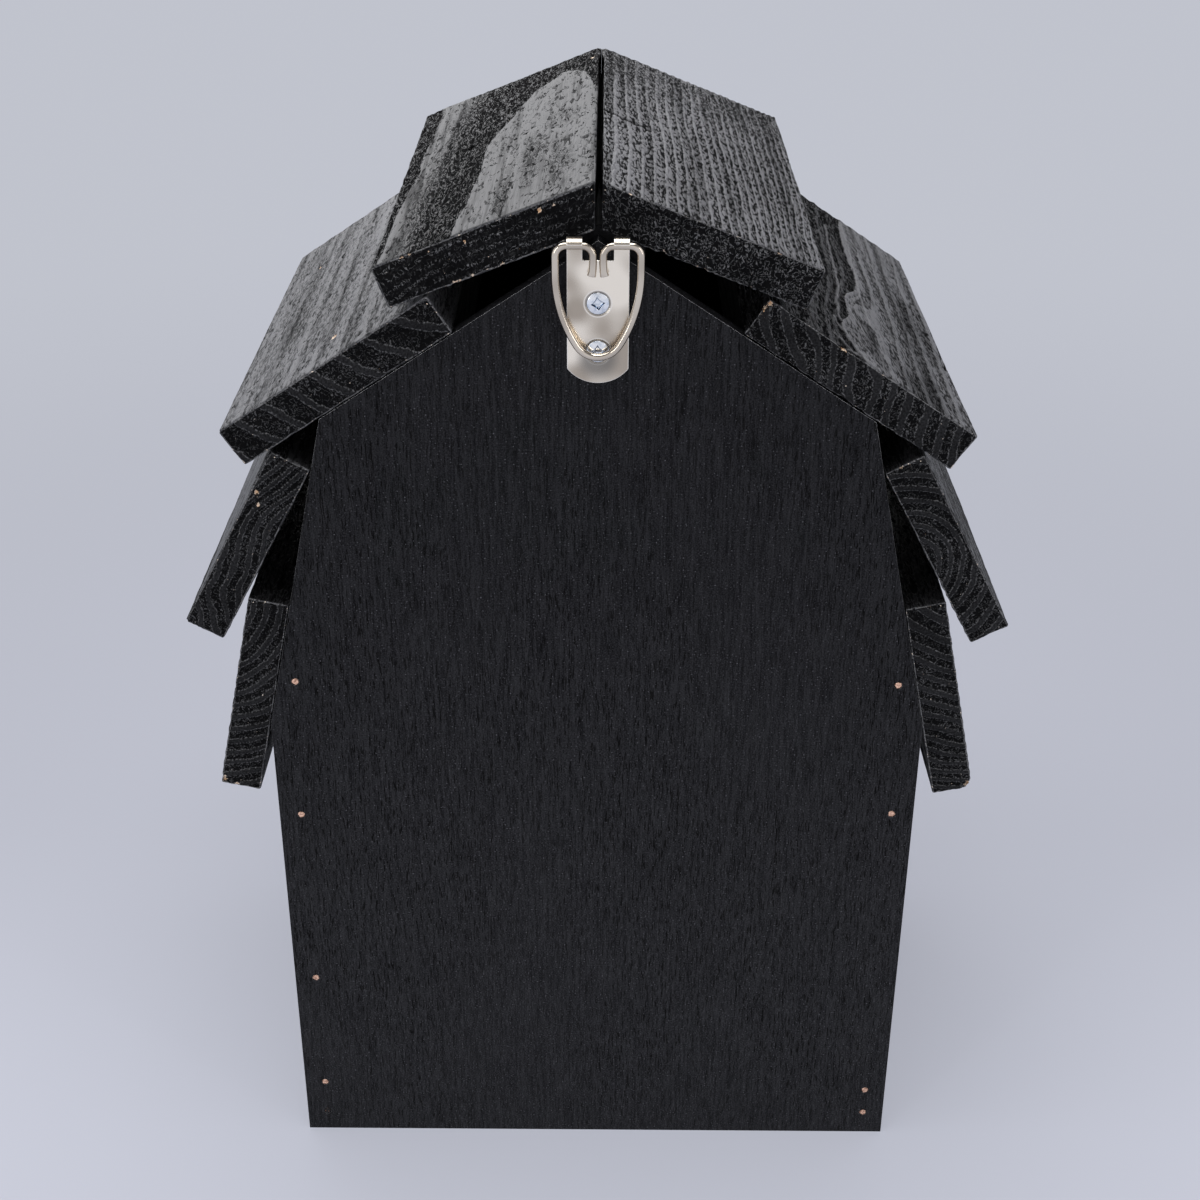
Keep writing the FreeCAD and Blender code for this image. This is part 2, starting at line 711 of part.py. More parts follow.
def hanger_screw(number, height):
    """A turned blank, drawn with its axis along Z and its head rim at the origin."""
    body = new_body("hanger_screw_%d" % number)
    tag = "screw_%d" % number
    half = new_sketch(body, tag + "_half", "XZ_Plane")
    points = [
        (0.0, -screw_len),
        (shank_r, -screw_len + 2 * shank_r),
        (shank_r, -cone_depth),
        (head_r, 0.0),
    ]
    sphere_r = (head_r ** 2 + head_rise ** 2) / (2 * head_rise)
    mid_angle = math.asin(head_r / sphere_r) / 2
    centre_z = head_rise - sphere_r
    dome_mid = Vector(sphere_r * math.sin(mid_angle), centre_z + sphere_r * math.cos(mid_angle), 0)
    for i in range(3):
        half.addGeometry(Part.LineSegment(Vector(*points[i], 0), Vector(*points[i + 1], 0)), False)
    half.addGeometry(Part.Arc(Vector(head_r, 0, 0), dome_mid, Vector(0, head_rise, 0)), False)
    half.addGeometry(Part.LineSegment(Vector(0, head_rise, 0), Vector(0, -screw_len, 0)), False)
    for i in (0, 1):
        half.addConstraint(Sketcher.Constraint("Coincident", i, 2, i + 1, 1))
        fix_point(half, i, 1, points[i][0], points[i][1], "%s_half_%d" % (tag, i))
    fix_point(half, 2, 1, points[2][0], points[2][1], tag + "_neck")
    fix_point(half, 2, 2, points[3][0], points[3][1], tag + "_rim")
    fix_point(half, 4, 1, 0.0, head_rise, tag + "_crown")
    half.addConstraint(Sketcher.Constraint("Coincident", 4, 2, 0, 1))
    doc.recompute()
    turn = body.newObject("PartDesign::Revolution", "Turn")
    turn.Profile = half
    turn.ReferenceAxis = (half, ["V_Axis"])
    turn.Angle = 360
    doc.recompute()
    recess = new_sketch(body, tag + "_recess", "XY_Plane", head_rise)
    arm = size("screw_recess_span") / 2
    slot = size("screw_recess_width") / 2
    cross = [
        (arm, -slot), (arm, slot), (slot, slot), (slot, arm), (-slot, arm), (-slot, slot),
        (-arm, slot), (-arm, -slot), (-slot, -slot), (-slot, -arm), (slot, -arm), (slot, -slot),
    ]
    polygon(recess, cross, tag + "_recess")
    pocket(body, recess, "screw_recess_depth", False)
    body.Placement = Placement(Vector(0, rear_y - plate_t, height), Rotation(Vector(1, 0, 0), 90))
    return body


screws = [hanger_screw(i + 1, height) for i, height in enumerate(screw_heights)]
hanger_screws = doc.addObject("Part::Compound", "hanger_screws")
hanger_screws.Links = screws
doc.recompute()

# Panel pins: small turned heads on plain shanks


def panel_pins(label, places, face_y, inward):
    """One compound of equal pins whose heads lie flush with a panel's outer face."""
    pins = []
    turn = Rotation(Vector(1, 0, 0), -90 * inward)
    for i, (x, z) in enumerate(places):
        head = doc.addObject("Part::Cylinder", "%s_head_%d" % (label, i))
        bind(head, "Radius", "pin_head_radius")
        bind(head, "Height", "pin_head_thickness")
        shank = doc.addObject("Part::Cylinder", "%s_shank_%d" % (label, i))
        bind(shank, "Radius", "pin_shank_radius")
        bind(shank, "Height", "pin_length")
        for piece in (head, shank):
            piece.Placement = Placement(Vector(x, face_y, z), turn)
        pin = doc.addObject("Part::Fuse", "%s_pin_%d" % (label, i))
        pin.Base = head
        pin.Tool = shank
        pins.append(pin)
    group = doc.addObject("Part::Compound", label)
    group.Links = pins
    return group


rear_panel_pins = panel_pins("rear_panel_pins", rear_pins, rear_y, 1)
front_panel_pins = panel_pins("front_panel_pins", front_pins, front_y, -1)
doc.recompute()

# Check every object, then write each sub-part

inner_bodies = set(screw.Name for screw in screws)
nodes = [o for o in doc.Objects if o.TypeId == "PartDesign::Body" and o.Name not in inner_bodies]
nodes += [hanger_screws, rear_panel_pins, front_panel_pins]

for item in doc.Objects:
    if "Invalid" in item.State or "Error" in item.State:
        raise ValueError("failed object: %s %s" % (item.Label, item.State))
for node in nodes:
    if node.Shape.isNull() or not node.Shape.isValid():
        raise ValueError("bad shape: " + node.Label)

os.makedirs("parts", exist_ok=True)
for node in nodes:
    node.Shape.exportStep("parts/%s.step" % node.Label)
    box = node.Shape.BoundBox
    print("%-26s solids %2d volume %10.1f  x %7.1f %7.1f  y %7.1f %7.1f  z %6.1f %6.1f" % (
        node.Label, len(node.Shape.Solids), node.Shape.Volume,
        box.XMin, box.XMax, box.YMin, box.YMax, box.ZMin, box.ZMax))
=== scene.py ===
import math

import bmesh
import bpy
import numpy as np
from mathutils import Matrix, Vector


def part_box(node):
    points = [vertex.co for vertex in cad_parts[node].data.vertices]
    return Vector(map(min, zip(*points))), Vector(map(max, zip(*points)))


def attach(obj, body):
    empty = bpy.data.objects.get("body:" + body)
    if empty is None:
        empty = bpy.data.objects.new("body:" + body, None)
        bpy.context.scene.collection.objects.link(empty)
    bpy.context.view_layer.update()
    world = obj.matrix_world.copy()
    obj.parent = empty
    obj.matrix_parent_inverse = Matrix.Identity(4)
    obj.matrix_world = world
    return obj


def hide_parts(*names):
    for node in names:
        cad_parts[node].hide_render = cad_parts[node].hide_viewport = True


# The looks of a black-stained timber bat box, seen from the rear and a little above.
# Scene lengths are in metres. Wood and fixings are worked out in millimetres and scaled by MM.

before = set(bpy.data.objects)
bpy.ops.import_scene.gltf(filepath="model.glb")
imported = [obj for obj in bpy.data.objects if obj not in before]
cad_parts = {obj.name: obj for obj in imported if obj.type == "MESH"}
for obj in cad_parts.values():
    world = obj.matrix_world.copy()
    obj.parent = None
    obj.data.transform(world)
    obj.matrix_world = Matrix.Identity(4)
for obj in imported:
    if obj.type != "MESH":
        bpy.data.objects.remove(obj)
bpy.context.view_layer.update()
MM = 0.001

# Camera: a 1200 x 1200 photograph whose principal point is its centre
PHOTO_SIZE = 1200
FOCAL_PIXELS = 1824.6
SENSOR_WIDTH = 36.0
CAMERA_PITCH = 0.49484
CAMERA_YAW = 0.00353
CAMERA_ROLL = 0.00450
CAMERA_X = 3.04 * MM
CAMERA_BEHIND_PANEL = 557.96 * MM
CAMERA_HEIGHT = 548.99 * MM

# Noise on points, for the shapes of sawn timber


def lattice(ix, iy, iz, seed):
    """A repeatable number from 0 to 1 for each cell corner."""
    h = (ix * 374761393 + iy * 668265263 + iz * 2147483647 + seed * 1274126177) & 0xFFFFFFFF
    h = ((h ^ (h >> 13)) * 1274126177) & 0xFFFFFFFF
    h = ((h ^ (h >> 16)) * 2246822519) & 0xFFFFFFFF
    return ((h ^ (h >> 15)) & 0xFFFFFF) / float(0xFFFFFF)


def noise(x, y, z, seed):
    """Smooth noise from -1 to 1 at each point, one feature per unit."""
    fx, fy, fz = np.floor(x), np.floor(y), np.floor(z)
    ix, iy, iz = fx.astype(np.int64), fy.astype(np.int64), fz.astype(np.int64)
    sx, sy, sz = (t * t * (3 - 2 * t) for t in (x - fx, y - fy, z - fz))
    total = 0.0
    for cx in (0, 1):
        for cy in (0, 1):
            for cz in (0, 1):
                share = (sx if cx else 1 - sx) * (sy if cy else 1 - sy) * (sz if cz else 1 - sz)
                total = total + share * lattice(ix + cx, iy + cy, iz + cz, seed)
    return total * 2 - 1


def fractal(x, y, z, seed, octaves=3):
    total, size, scale = 0.0, 1.0, 1.0
    for i in range(octaves):
        total = total + size * noise(x * scale, y * scale, z * scale, seed + 17 * i)
        size *= 0.5
        scale *= 2.03
    return total


def smooth_step(low, high, value):
    t = np.clip((value - low) / (high - low), 0, 1)
    return t * t * (3 - 2 * t)


def add_object(name, data):
    obj = bpy.data.objects.new(name, data)
    bpy.context.scene.collection.objects.link(obj)
    return obj


def grid_object(name, vertices, faces):
    """A smooth-shaded object from points and four-sided faces."""
    mesh = bpy.data.meshes.new(name)
    mesh.vertices.add(len(vertices))
    mesh.vertices.foreach_set("co", np.asarray(vertices, np.float32).ravel())
    faces = np.asarray(faces, np.int32)
    mesh.loops.add(faces.size)
    mesh.loops.foreach_set("vertex_index", faces.ravel())
    mesh.polygons.add(len(faces))
    mesh.polygons.foreach_set("loop_start", np.arange(len(faces), dtype=np.int32) * faces.shape[1])
    mesh.polygons.foreach_set("use_smooth", np.ones(len(faces), bool))
    mesh.update(calc_edges=True)
    mesh.validate()
    return add_object(name, mesh)


def store(obj, name, values):
    """Keeps a number or a vector per vertex for the material."""
    values = np.asarray(values, np.float32)
    kind = "FLOAT" if values.ndim == 1 else "FLOAT_VECTOR"
    attribute = obj.data.attributes.new(name, kind, "POINT")
    attribute.data.foreach_set("value" if kind == "FLOAT" else "vector", values.ravel())


def finish_piece(obj, node, body="box"):
    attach(obj, body)
    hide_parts(node)


# Node helpers


class Nodes:
    """Short names for building one material's node tree."""

    def __init__(self, name):
        self.material = bpy.data.materials.new(name)
        self.material.use_nodes = True
        self.tree = self.material.node_tree
        self.tree.nodes.clear()
        self.output = self.tree.nodes.new("ShaderNodeOutputMaterial")

    def add(self, kind, inputs=None, **settings):
        node = self.tree.nodes.new(kind)
        for key, value in settings.items():
            setattr(node, key, value)
        for key, value in (inputs or {}).items():
            self.feed(node.inputs[key], value)
        return node

    def feed(self, socket, value):
        if isinstance(value, bpy.types.NodeSocket):
            self.tree.links.new(value, socket)
        else:
            socket.default_value = value

    def math(self, operation, a, b=0.0, clamp=False):
        return self.add("ShaderNodeMath", {0: a, 1: b}, operation=operation, use_clamp=clamp).outputs[0]

    def total(self, *terms):
        """Adds up values; a pair is a value and its weight."""
        result = None
        for term in terms:
            value = self.math("MULTIPLY", *term) if isinstance(term, tuple) else term
            result = value if result is None else self.math("ADD", result, value)
        return result

    def product(self, *factors):
        result = factors[0]
        for factor in factors[1:]:
            result = self.math("MULTIPLY", result, factor)
        return result

    def inverse(self, value):
        return self.math("SUBTRACT", 1.0, value)

    def stretch(self, vector, scale, turn=(0, 0, 0)):
        mapping = self.add("ShaderNodeMapping", {"Vector": vector, "Scale": scale, "Rotation": turn})
        return mapping.outputs[0]

    def noise(self, vector, scale, detail=3.0, roughness=0.55, distortion=0.0):
        node = self.add("ShaderNodeTexNoise", {
            "Vector": vector, "Scale": scale, "Detail": detail,
            "Roughness": roughness, "Distortion": distortion,
        })
        return node.outputs["Fac"]

    def ramp(self, value, low, high, to_low=0.0, to_high=1.0):
        node = self.add("ShaderNodeMapRange", {
            "Value": value, "From Min": low, "From Max": high, "To Min": to_low, "To Max": to_high,
        }, interpolation_type="SMOOTHSTEP")
        return node.outputs["Result"]

    def worms(self, value, width):
        """Thin wandering ridges where a noise passes its middle value."""
        distance = self.math("ABSOLUTE", self.math("SUBTRACT", value, 0.5))
        return self.ramp(distance, 0.0, width, 1.0, 0.0)

    def mix(self, factor, a, b):
        node = self.add("ShaderNodeMix", data_type="RGBA")
        self.feed(node.inputs[0], factor)
        self.feed(node.inputs[6], a)
        self.feed(node.inputs[7], b)
        return node.outputs[2]

    def blend(self, factor, a, b):
        node = self.add("ShaderNodeMix", data_type="FLOAT")
        self.feed(node.inputs[0], factor)
        self.feed(node.inputs[2], a)
        self.feed(node.inputs[3], b)
        return node.outputs[0]

    def attribute(self, name, vector=False):
        node = self.add("ShaderNodeAttribute", attribute_name=name)
        return node.outputs["Vector" if vector else "Fac"]

    def place(self):
        return self.add("ShaderNodeTexCoord").outputs["Object"]

    def bump(self, height, strength, distance):
        inputs = {"Height": height, "Strength": strength, "Distance": distance}
        return self.add("ShaderNodeBump", inputs).outputs["Normal"]

    def surface(self, **inputs):
        names = {key.replace("_", " "): value for key, value in inputs.items()}
        shader = self.add("ShaderNodeBsdfPrincipled", names)
        self.tree.links.new(shader.outputs["BSDF"], self.output.inputs["Surface"])
        return self.material


# Cladding boards. A board's own axes are u across it from its upper edge, v along it from
# its near end and w outward from its underside.

BOARD_STEP_ACROSS = 0.5
BOARD_STEP_ALONG = 1.1
BOARD_ARRIS = 1.0
BOARD_TOP = 15

# Where the two mitred edges close up, in millimetres along the board and up from its underside:
# low down from a little past the near end, and nearly to the top at the far end
MITRE_CLEARANCE = 0.03
SEAM_CLOSES_ALONG = (25, 60)
SEAM_CLOSES_BELOW = (11, 7)
FAR_SEAM_ALONG = (180, 192)
FAR_SEAM_BELOW = (14.9, 14.2)

# Where in each ring the hard late wood stands highest, as a share of the ring
LATE_WOOD_PHASE = 0.14

# How deep wear goes below the planed block, and how far the thin bright lines rise, in millimetres
FIBRE_DEPTH = 0.06
TORN_FIBRE_DEPTH = 0.36
TORN_DEPTH = 0.10
SAWN_END_DEPTH = 0.04
BROKEN_END_DEPTH = 0.10
END_PIT_DEPTH = 0.60
WAVE_DEPTH = 0.07
NICK_DEPTH = 0.12
WORN_ARRIS_DEPTH = 0.55
LINE_RISE = 0.15

# Colours of the stained boards. The first is near black: painted shade in the hollows of the relief and in
# the mitre seam, and also the black of dark torn stain and of the darkened pin. The arris colour is worn
# stain with a painted highlight on it. The glint colour is a painted highlight on the broken fibres and
# arrises of the ends, and it also lightens the ring borders there.
BLACK_AND_RECESS_SHADE = (0.0010, 0.0010, 0.0012, 1)
WORN_STAIN = (0.034, 0.034, 0.037, 1)
WORN_ARRIS_AND_HIGHLIGHT = (0.10, 0.10, 0.105, 1)
GLINT = (0.21, 0.21, 0.215, 1)
RAW_WOOD = (0.60, 0.38, 0.22, 1)
SPLINTER = (0.82, 0.70, 0.58, 1)


def timber(seed, pith, spacing, zone, band, chips=(), knots=(), mitre=False, wander=1.6, drift=0.0,
           crowding=(0, 0), relief=0.14, hatch=0.6, specks=1.0, lined=0.0, rows=0.0, tone_and_painted_light=1.0, gloom=0.2,
           glint=0.4, scuffs=(), lines=()):
    """How one board was cut from its log, in millimetres on the board's own axes.

    pith is the log's centre in the board's section, drift how far it rises per millimetre of length
    and wander how far the rings sway. spacing is the ring width, which crowding narrows from a
    radius outward, and band the share of each ring that is smooth on the end grain. zone is where a
    torn stretch begins, how often it comes back, where in its period it fades and how strong it is.
    rows is the distance of flat rings on the ends, if they show. relief is how deep the soft wood
    between rings has worn, lined how clearly the rings show as lines and hatch the slant of the
    short strokes, in radians. tone sets how light the worn stain of the long faces is, partly the
    stain itself and partly painted light, set per board to how bright its long faces look. gloom is
    how dark the torn wood is, glint how bright the painted highlights on the broken fibres of the
    ends are and specks how many splinters they show.
    A chip is its place, its radius, its depth and how bare it is. A knot is its place across and
    along, and its size. A scuff is its place, its two half sizes and its strength. A line is a thin
    raised splinter edge on the top with a painted highlight along it. A mitre says that the upper
    edge is cut to meet the twin board.
    """
    return {
        "seed": seed, "pith": pith, "spacing": spacing, "zone": zone, "band": band, "chips": chips,
        "knots": knots, "mitre": mitre, "wander": wander, "drift": drift, "crowding": crowding,
        "relief": relief, "hatch": hatch, "specks": specks, "lined": lined, "rows": rows,
        "tone_and_painted_light": tone_and_painted_light, "gloom": gloom, "glint": glint, "scuffs": scuffs, "lines": lines,
    }


def scratch(start, end, radius, depth, count):
    """A row of shallow dark chips on a board's top, from one place to another."""
    places = np.linspace(start, end, count)
    return tuple((u, v, BOARD_TOP, radius, depth, 0) for u, v in places)


BOARDS = {
    "ridge_board_left": (-1, timber(
        11, (18, -10), 3.1, (39, 25, 0.30, 1.0, 1.0), 0.0, mitre=True, wander=2.6, drift=-0.078, relief=0.06,
        rows=3.1, tone_and_painted_light=0.9, gloom=0.5, glint=1.0,
        scuffs=((13, 44, 6, 48, 0.42), (24, 60, 5, 52, 0.40), (33, 26, 4, 36, 0.40), (14, 100, 10, 14, 0.25)),
        chips=(
            (19.2, 0, 12.6, 0.9, 0.4, 1), (34.2, 0, 0.3, 1.0, 0.5, 1), (45.4, 0, 0.3, 0.8, 0.4, 1),
            (49.9, 0, 0.3, 0.7, 0.4, 1), (52, 0, 0.3, 0.9, 0.5, 1), (66.4, 0, 14.6, 0.9, 0.5, 1),
            (57.3, 0, 13, 0.6, 0.3, 1), (45.1, 0, 11.7, 0.6, 0.3, 1), (4, 60.6, 15, 1.3, 0.8, 0.3),
            (2.8, 186, 15, 1.0, 0.4, 1), (50, 112, 15, 1.4, 1.2, 0), (14.2, 0, 12.5, 0.6, 0.3, 0.9),
            (63.7, 0, 14.6, 0.7, 0.4, 0.9), (40, 0, 0.3, 0.7, 0.4, 0.9),
        ))),
    "ridge_board_right": (1, timber(
        23, (-62, 52), 4.75, (0, 900, 0.95, 1.0, 0.8), 0.0, mitre=True, wander=1.6, crowding=(72, 0.0016),
        relief=0.34, hatch=0.9, lined=1.0, specks=0.5, tone_and_painted_light=3.8, glint=1.0,
        chips=(
            (9.9, 0, 15, 0.9, 0.6, 1), (61.2, 0, 15, 1.0, 0.6, 1), (23.2, 0, 0, 1.5, 0.9, 1),
            (38.5, 0, 0, 0.9, 0.6, 1), (36, 0, 0, 0.7, 0.5, 1), (55.3, 0, 0, 0.9, 0.5, 1),
            (-3.6, 0, 15, 3.4, 1.6, 0),
        ) + scratch((1, 96), (17, 92), 0.9, 0.6, 14))),
    "second_board_left": (-1, timber(
        37, (-30, 52), 9.5, (30, 300, 0.30, 0.9, 0.14), 0.26, wander=2.2, relief=0.16, lined=0.42, tone_and_painted_light=2.6,
        chips=(
            (41.7, 25.6, 15, 1.1, 0.5, 1), (68.1, 143.7, 15, 1.0, 0.4, 0.8), (28, 8, 15, 1.2, 0.7, 0),
        ))),
    "second_board_right": (1, timber(
        43, (-32, -42), 6.2, (93, 400, 0.5, 0.2, 1.0), 0.50, wander=2.2, drift=0.10, relief=0.26, lined=0.75,
        gloom=0.80, tone_and_painted_light=2.25, glint=0.6, scuffs=((66, 10, 16, 44, 0.85), (76, 90, 10, 40, 0.7)),
        knots=((43, 60, 7), (36, 24, 9)),
        lines=(
            ((43, 161), (40.4, 120), (38.6, 80), (34.3, 54), (33, 35), (36.4, 26), (41.4, 17)),
            ((48.9, 82), (42.9, 67), (40.3, 52), (41.2, 44), (43.3, 40), (43.1, 31)),
            ((53.3, 178), (52.3, 141), (50.8, 115), (48.7, 84), (48.4, 65), (48.1, 48)),
            ((29.9, 32), (32.8, 22), (38, 12)), ((31.9, 2), (38, 7), (45, 9)), ((28, 12), (34, 5), (44, 2)),
        ),
        chips=(
            (0, 0, 11.5, 1.6, 1.0, 1), (1.5, 0, 13.5, 1.3, 0.8, 1), (30.6, 0, 14.8, 1.3, 0.6, 1),
            (84, 60, 15, 1.5, 0.8, 0),
        ))),
    "upper_side_board_left": (-1, timber(
        59, (40, -60), 4.4, (10, 70, 0.3, 0.9, 0.7), 0.50, wander=3.0, relief=0.16,
        chips=((16.3, 0, 12.6, 1.0, 0.6, 1), (20.2, 0, 10.5, 0.8, 0.5, 1)))),
    "upper_side_board_right": (1, timber(
        61, (36, -7), 4.9, (10, 90, 0.3, 0.9, 0.4), 0.44, wander=1.4, relief=0.20, lined=0.4,
        chips=((0.3, 0, 6, 0.8, 0.5, 1), (10, 60, 15, 1.4, 0.8, 0), (14, 40, 15, 1.2, 0.8, 0)))),
    "lower_side_board_left": (-1, timber(
        73, (4, 36), 4.6, (10, 90, 0.3, 0.9, 0.5), 0.46, wander=2.4, relief=0.18,
        chips=((77.4, 0, 14.6, 1.8, 0.9, 0.9), (78.9, 0, 8.9, 1.0, 0.6, 1)))),
    "lower_side_board_right": (1, timber(
        83, (-25, 35), 7.6, (10, 90, 0.3, 0.9, 0.4), 0.50, wander=2.0, crowding=(37, 0.0011), relief=0.18,
        chips=((79, 0, 15, 3.0, 1.6, 1),))),
}


def spread(length, step, arris):
    """Places along one side of a board: close together at the two arrises."""
    count = max(2, int(round((length - 2 * arris) / step)))
    middle = np.linspace(arris, length - arris, count + 1)
    return np.concatenate(([0.0, 0.4 * arris], middle, [length - 0.4 * arris, length]))


def board_axes(node, side):
    """The across and outward directions of a board and its extents, in millimetres."""
    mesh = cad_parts[node].data
    areas = {}
    for face in mesh.polygons:
        if abs(face.normal.y) < 0.01 and face.normal.z > 0:
            key = (round(face.normal.x, 3), round(face.normal.z, 3))
            areas[key] = areas.get(key, 0) + face.area
    x, z = max(areas, key=areas.get)
    outward = np.array((x, 0.0, z)) / math.hypot(x, z)
    across = side * np.array((outward[2], 0.0, -outward[0]))
    along = np.array((0.0, 1.0, 0.0))
    points = np.array([v.co for v in mesh.vertices]) / MM
    axes = np.array((across, along, outward))
    local = points @ axes.T
    return axes, local.min(0), local.max(0)


def shell(us, vs, ws):
    """The surface points of a grid block and the quads of its six sides."""
    sizes = (len(us), len(vs), len(ws))
    inside = np.zeros(sizes, bool)
    inside[1:-1, 1:-1, 1:-1] = True
    cells = np.argwhere(~inside)
    index = np.full(sizes, -1, np.int64)
    index[tuple(cells.T)] = np.arange(len(cells))
    faces = []
    for axis in range(3):
        for end in (0, -1):
            sheet = np.take(index, end, axis=axis)
            corners = (sheet[:-1, :-1], sheet[1:, :-1], sheet[1:, 1:], sheet[:-1, 1:])
            quads = np.stack(corners, -1).reshape(-1, 4)
            if (axis == 1) != (end == 0):
                quads = quads[:, ::-1]
            faces.append(quads)
    points = np.stack((us[cells[:, 0]], vs[cells[:, 1]], ws[cells[:, 2]]), 1)
    return points, np.concatenate(faces)


def ring_radius(wood, u, v, w):
    """Distance from the pith of the log, with the slow wander of growth rings and the pull of knots."""
    px, pz = wood["pith"]
    sway = fractal(u / 24, v / 70, w / 24, wood["seed"], 3) * wood["wander"]
    radius = np.hypot(u - px + 0.5 * sway, w - pz - wood["drift"] * v + 0.5 * sway) + 0.6 * sway
    for ku, kv, size in wood["knots"]:
        away = np.hypot(u - ku, (v - kv) * 0.45) / size
        radius = radius + 1.1 * size * np.exp(-away ** 2)
    return radius


def chip_depth(wood, u, v, w):
    """How deep the chips go at each point, how bare the wood is there and how dark."""
    depth, bare, sunk = np.zeros_like(u), np.zeros_like(u), np.zeros_like(u)
    for cu, cv, cw, radius, deep, bareness in wood["chips"]:
        distance = np.sqrt((u - cu) ** 2 + ((v - cv) * 0.7) ** 2 + (w - cw) ** 2)
        ragged = 1 + 0.45 * noise(u * 1.3, v * 1.3, w * 1.3, wood["seed"] + 91)
        inside = 1 - smooth_step(0.5, 1.25, distance / (radius * ragged))
        depth = np.maximum(depth, deep * inside)
        bare = np.maximum(bare, bareness * inside)
        sunk = np.maximum(sunk, (1 - bareness) * inside)
    return depth, bare, sunk


def torn_share(wood, radius, u, v, w):
    start, period, fade_from, fade_to, strength = wood["zone"]
    phase = np.where(radius > start, (radius - start) / period % 1.0, 1.0)
    ragged = 0.06 * noise(u / 2, v / 9, w / 2, wood["seed"] + 5)
    torn = strength * (1 - smooth_step(fade_from, fade_to, phase + ragged * (phase > 0.06)))
    for su, sv, half_u, half_v, scuffed in wood["scuffs"]:
        away = np.hypot((u - su) / half_u, (v - sv) / half_v) + 0.4 * fractal(u / 6, v / 14, w / 6, 77, 2)
        torn = np.maximum(torn, scuffed * smooth_step(1.1, 0.3, away))
    return torn


def line_share(wood, normal, u, v):
    """How close each point of the top is to one of the board's thin bright lines."""
    share = np.zeros_like(u)
    wobble = 0.35 * noise(u / 1.5, v / 4, 0 * u, wood["seed"] + 101)
    for line in wood["lines"]:
        for (u0, v0), (u1, v1) in zip(line, line[1:]):
            run = (u1 - u0) ** 2 + (v1 - v0) ** 2
            t = np.clip(((u - u0) * (u1 - u0) + (v - v0) * (v1 - v0)) / run, 0, 1)
            apart = np.hypot(u - u0 - t * (u1 - u0) + wobble, v - v0 - t * (v1 - v0))
            share = np.maximum(share, smooth_step(0.8, 0.3, apart))
    return share * (normal[:, 2] > 0.7)


def board_depth(wood, normal, u, v, w):
    """How far the surface lies under the planed block, and the attributes that the stain needs."""
    seed = wood["seed"]
    radius = ring_radius(wood, u, v, w)
    crowded_from, crowding = wood["crowding"]
    ring = radius / wood["spacing"] + crowding * np.maximum(radius - crowded_from, 0) ** 2
    end = smooth_step(0.5, 0.9, np.abs(normal[:, 1]))
    if wood["rows"]:
        sway = 0.9 * fractal(u / 15, v / 60, w / 15, seed + 81, 2)
        flat = (w + 0.0022 * (u - 30) ** 2 + sway) / wood["rows"]
        ring = np.where(end > 0.5, flat, ring)
    late = 0.5 + 0.5 * np.cos(2 * math.pi * (ring - LATE_WOOD_PHASE))
    torn = torn_share(wood, radius, u, v, w)
    on_arris = (np.abs(normal) > 0.25).sum(1) > 1
    fibre = fractal(u / 1.1, v / 6.5, w / 1.1, seed + 31, 2)
    pits = fractal(u / 1.3, v / 1.3, w / 1.3, seed + 41, 2)
    worn = smooth_step(0.45, 1.0, fractal(u / 6, v / 7, w / 6, seed + 51, 3))
    wave = 1 + fractal(u / 30, v / 50, w / 30, seed + 61, 2)
    smooth_band = smooth_step(0.0, 0.22, late - 1 + wood["band"] + 0.10 * pits) if wood["band"] else 0.0
    rough_band = (1 - smooth_band) * np.ones_like(u)
    fibre_depth = (FIBRE_DEPTH + TORN_FIBRE_DEPTH * torn) * (0.5 + 0.5 * fibre)
    side_depth = wood["relief"] * (1 - late) + fibre_depth + TORN_DEPTH * torn
    pit_depth = END_PIT_DEPTH * smooth_step(-0.5, 0.9, pits)
    end_depth = SAWN_END_DEPTH + rough_band * (BROKEN_END_DEPTH + pit_depth)
    depth = (1 - end) * side_depth + end * end_depth + WAVE_DEPTH * wave
    nicks = NICK_DEPTH * np.abs(noise(u / 2.3, v / 2.3, w / 2.3, seed + 71))
    depth = depth + on_arris * (nicks + WORN_ARRIS_DEPTH * worn)
    chipped, bare, sunk = chip_depth(wood, u, v, w)
    # The mitre faces are painted near black: painted shade in the seam between the twin boards.
    if wood["mitre"]:
        sunk = np.maximum(sunk, smooth_step(-0.8, -0.95, normal[:, 0]))
    line = line_share(wood, normal, u, v)
    edge = on_arris & ~(wood["mitre"] & (normal[:, 0] < -0.25))
    attributes = {
        "line": line, "ring": ring, "torn": torn, "end": end, "bare": bare, "sunk": sunk,
        "rough_band": rough_band, "edge": edge.astype(float),
    }
    return np.maximum(depth + chipped - LINE_RISE * line, 0.0), attributes


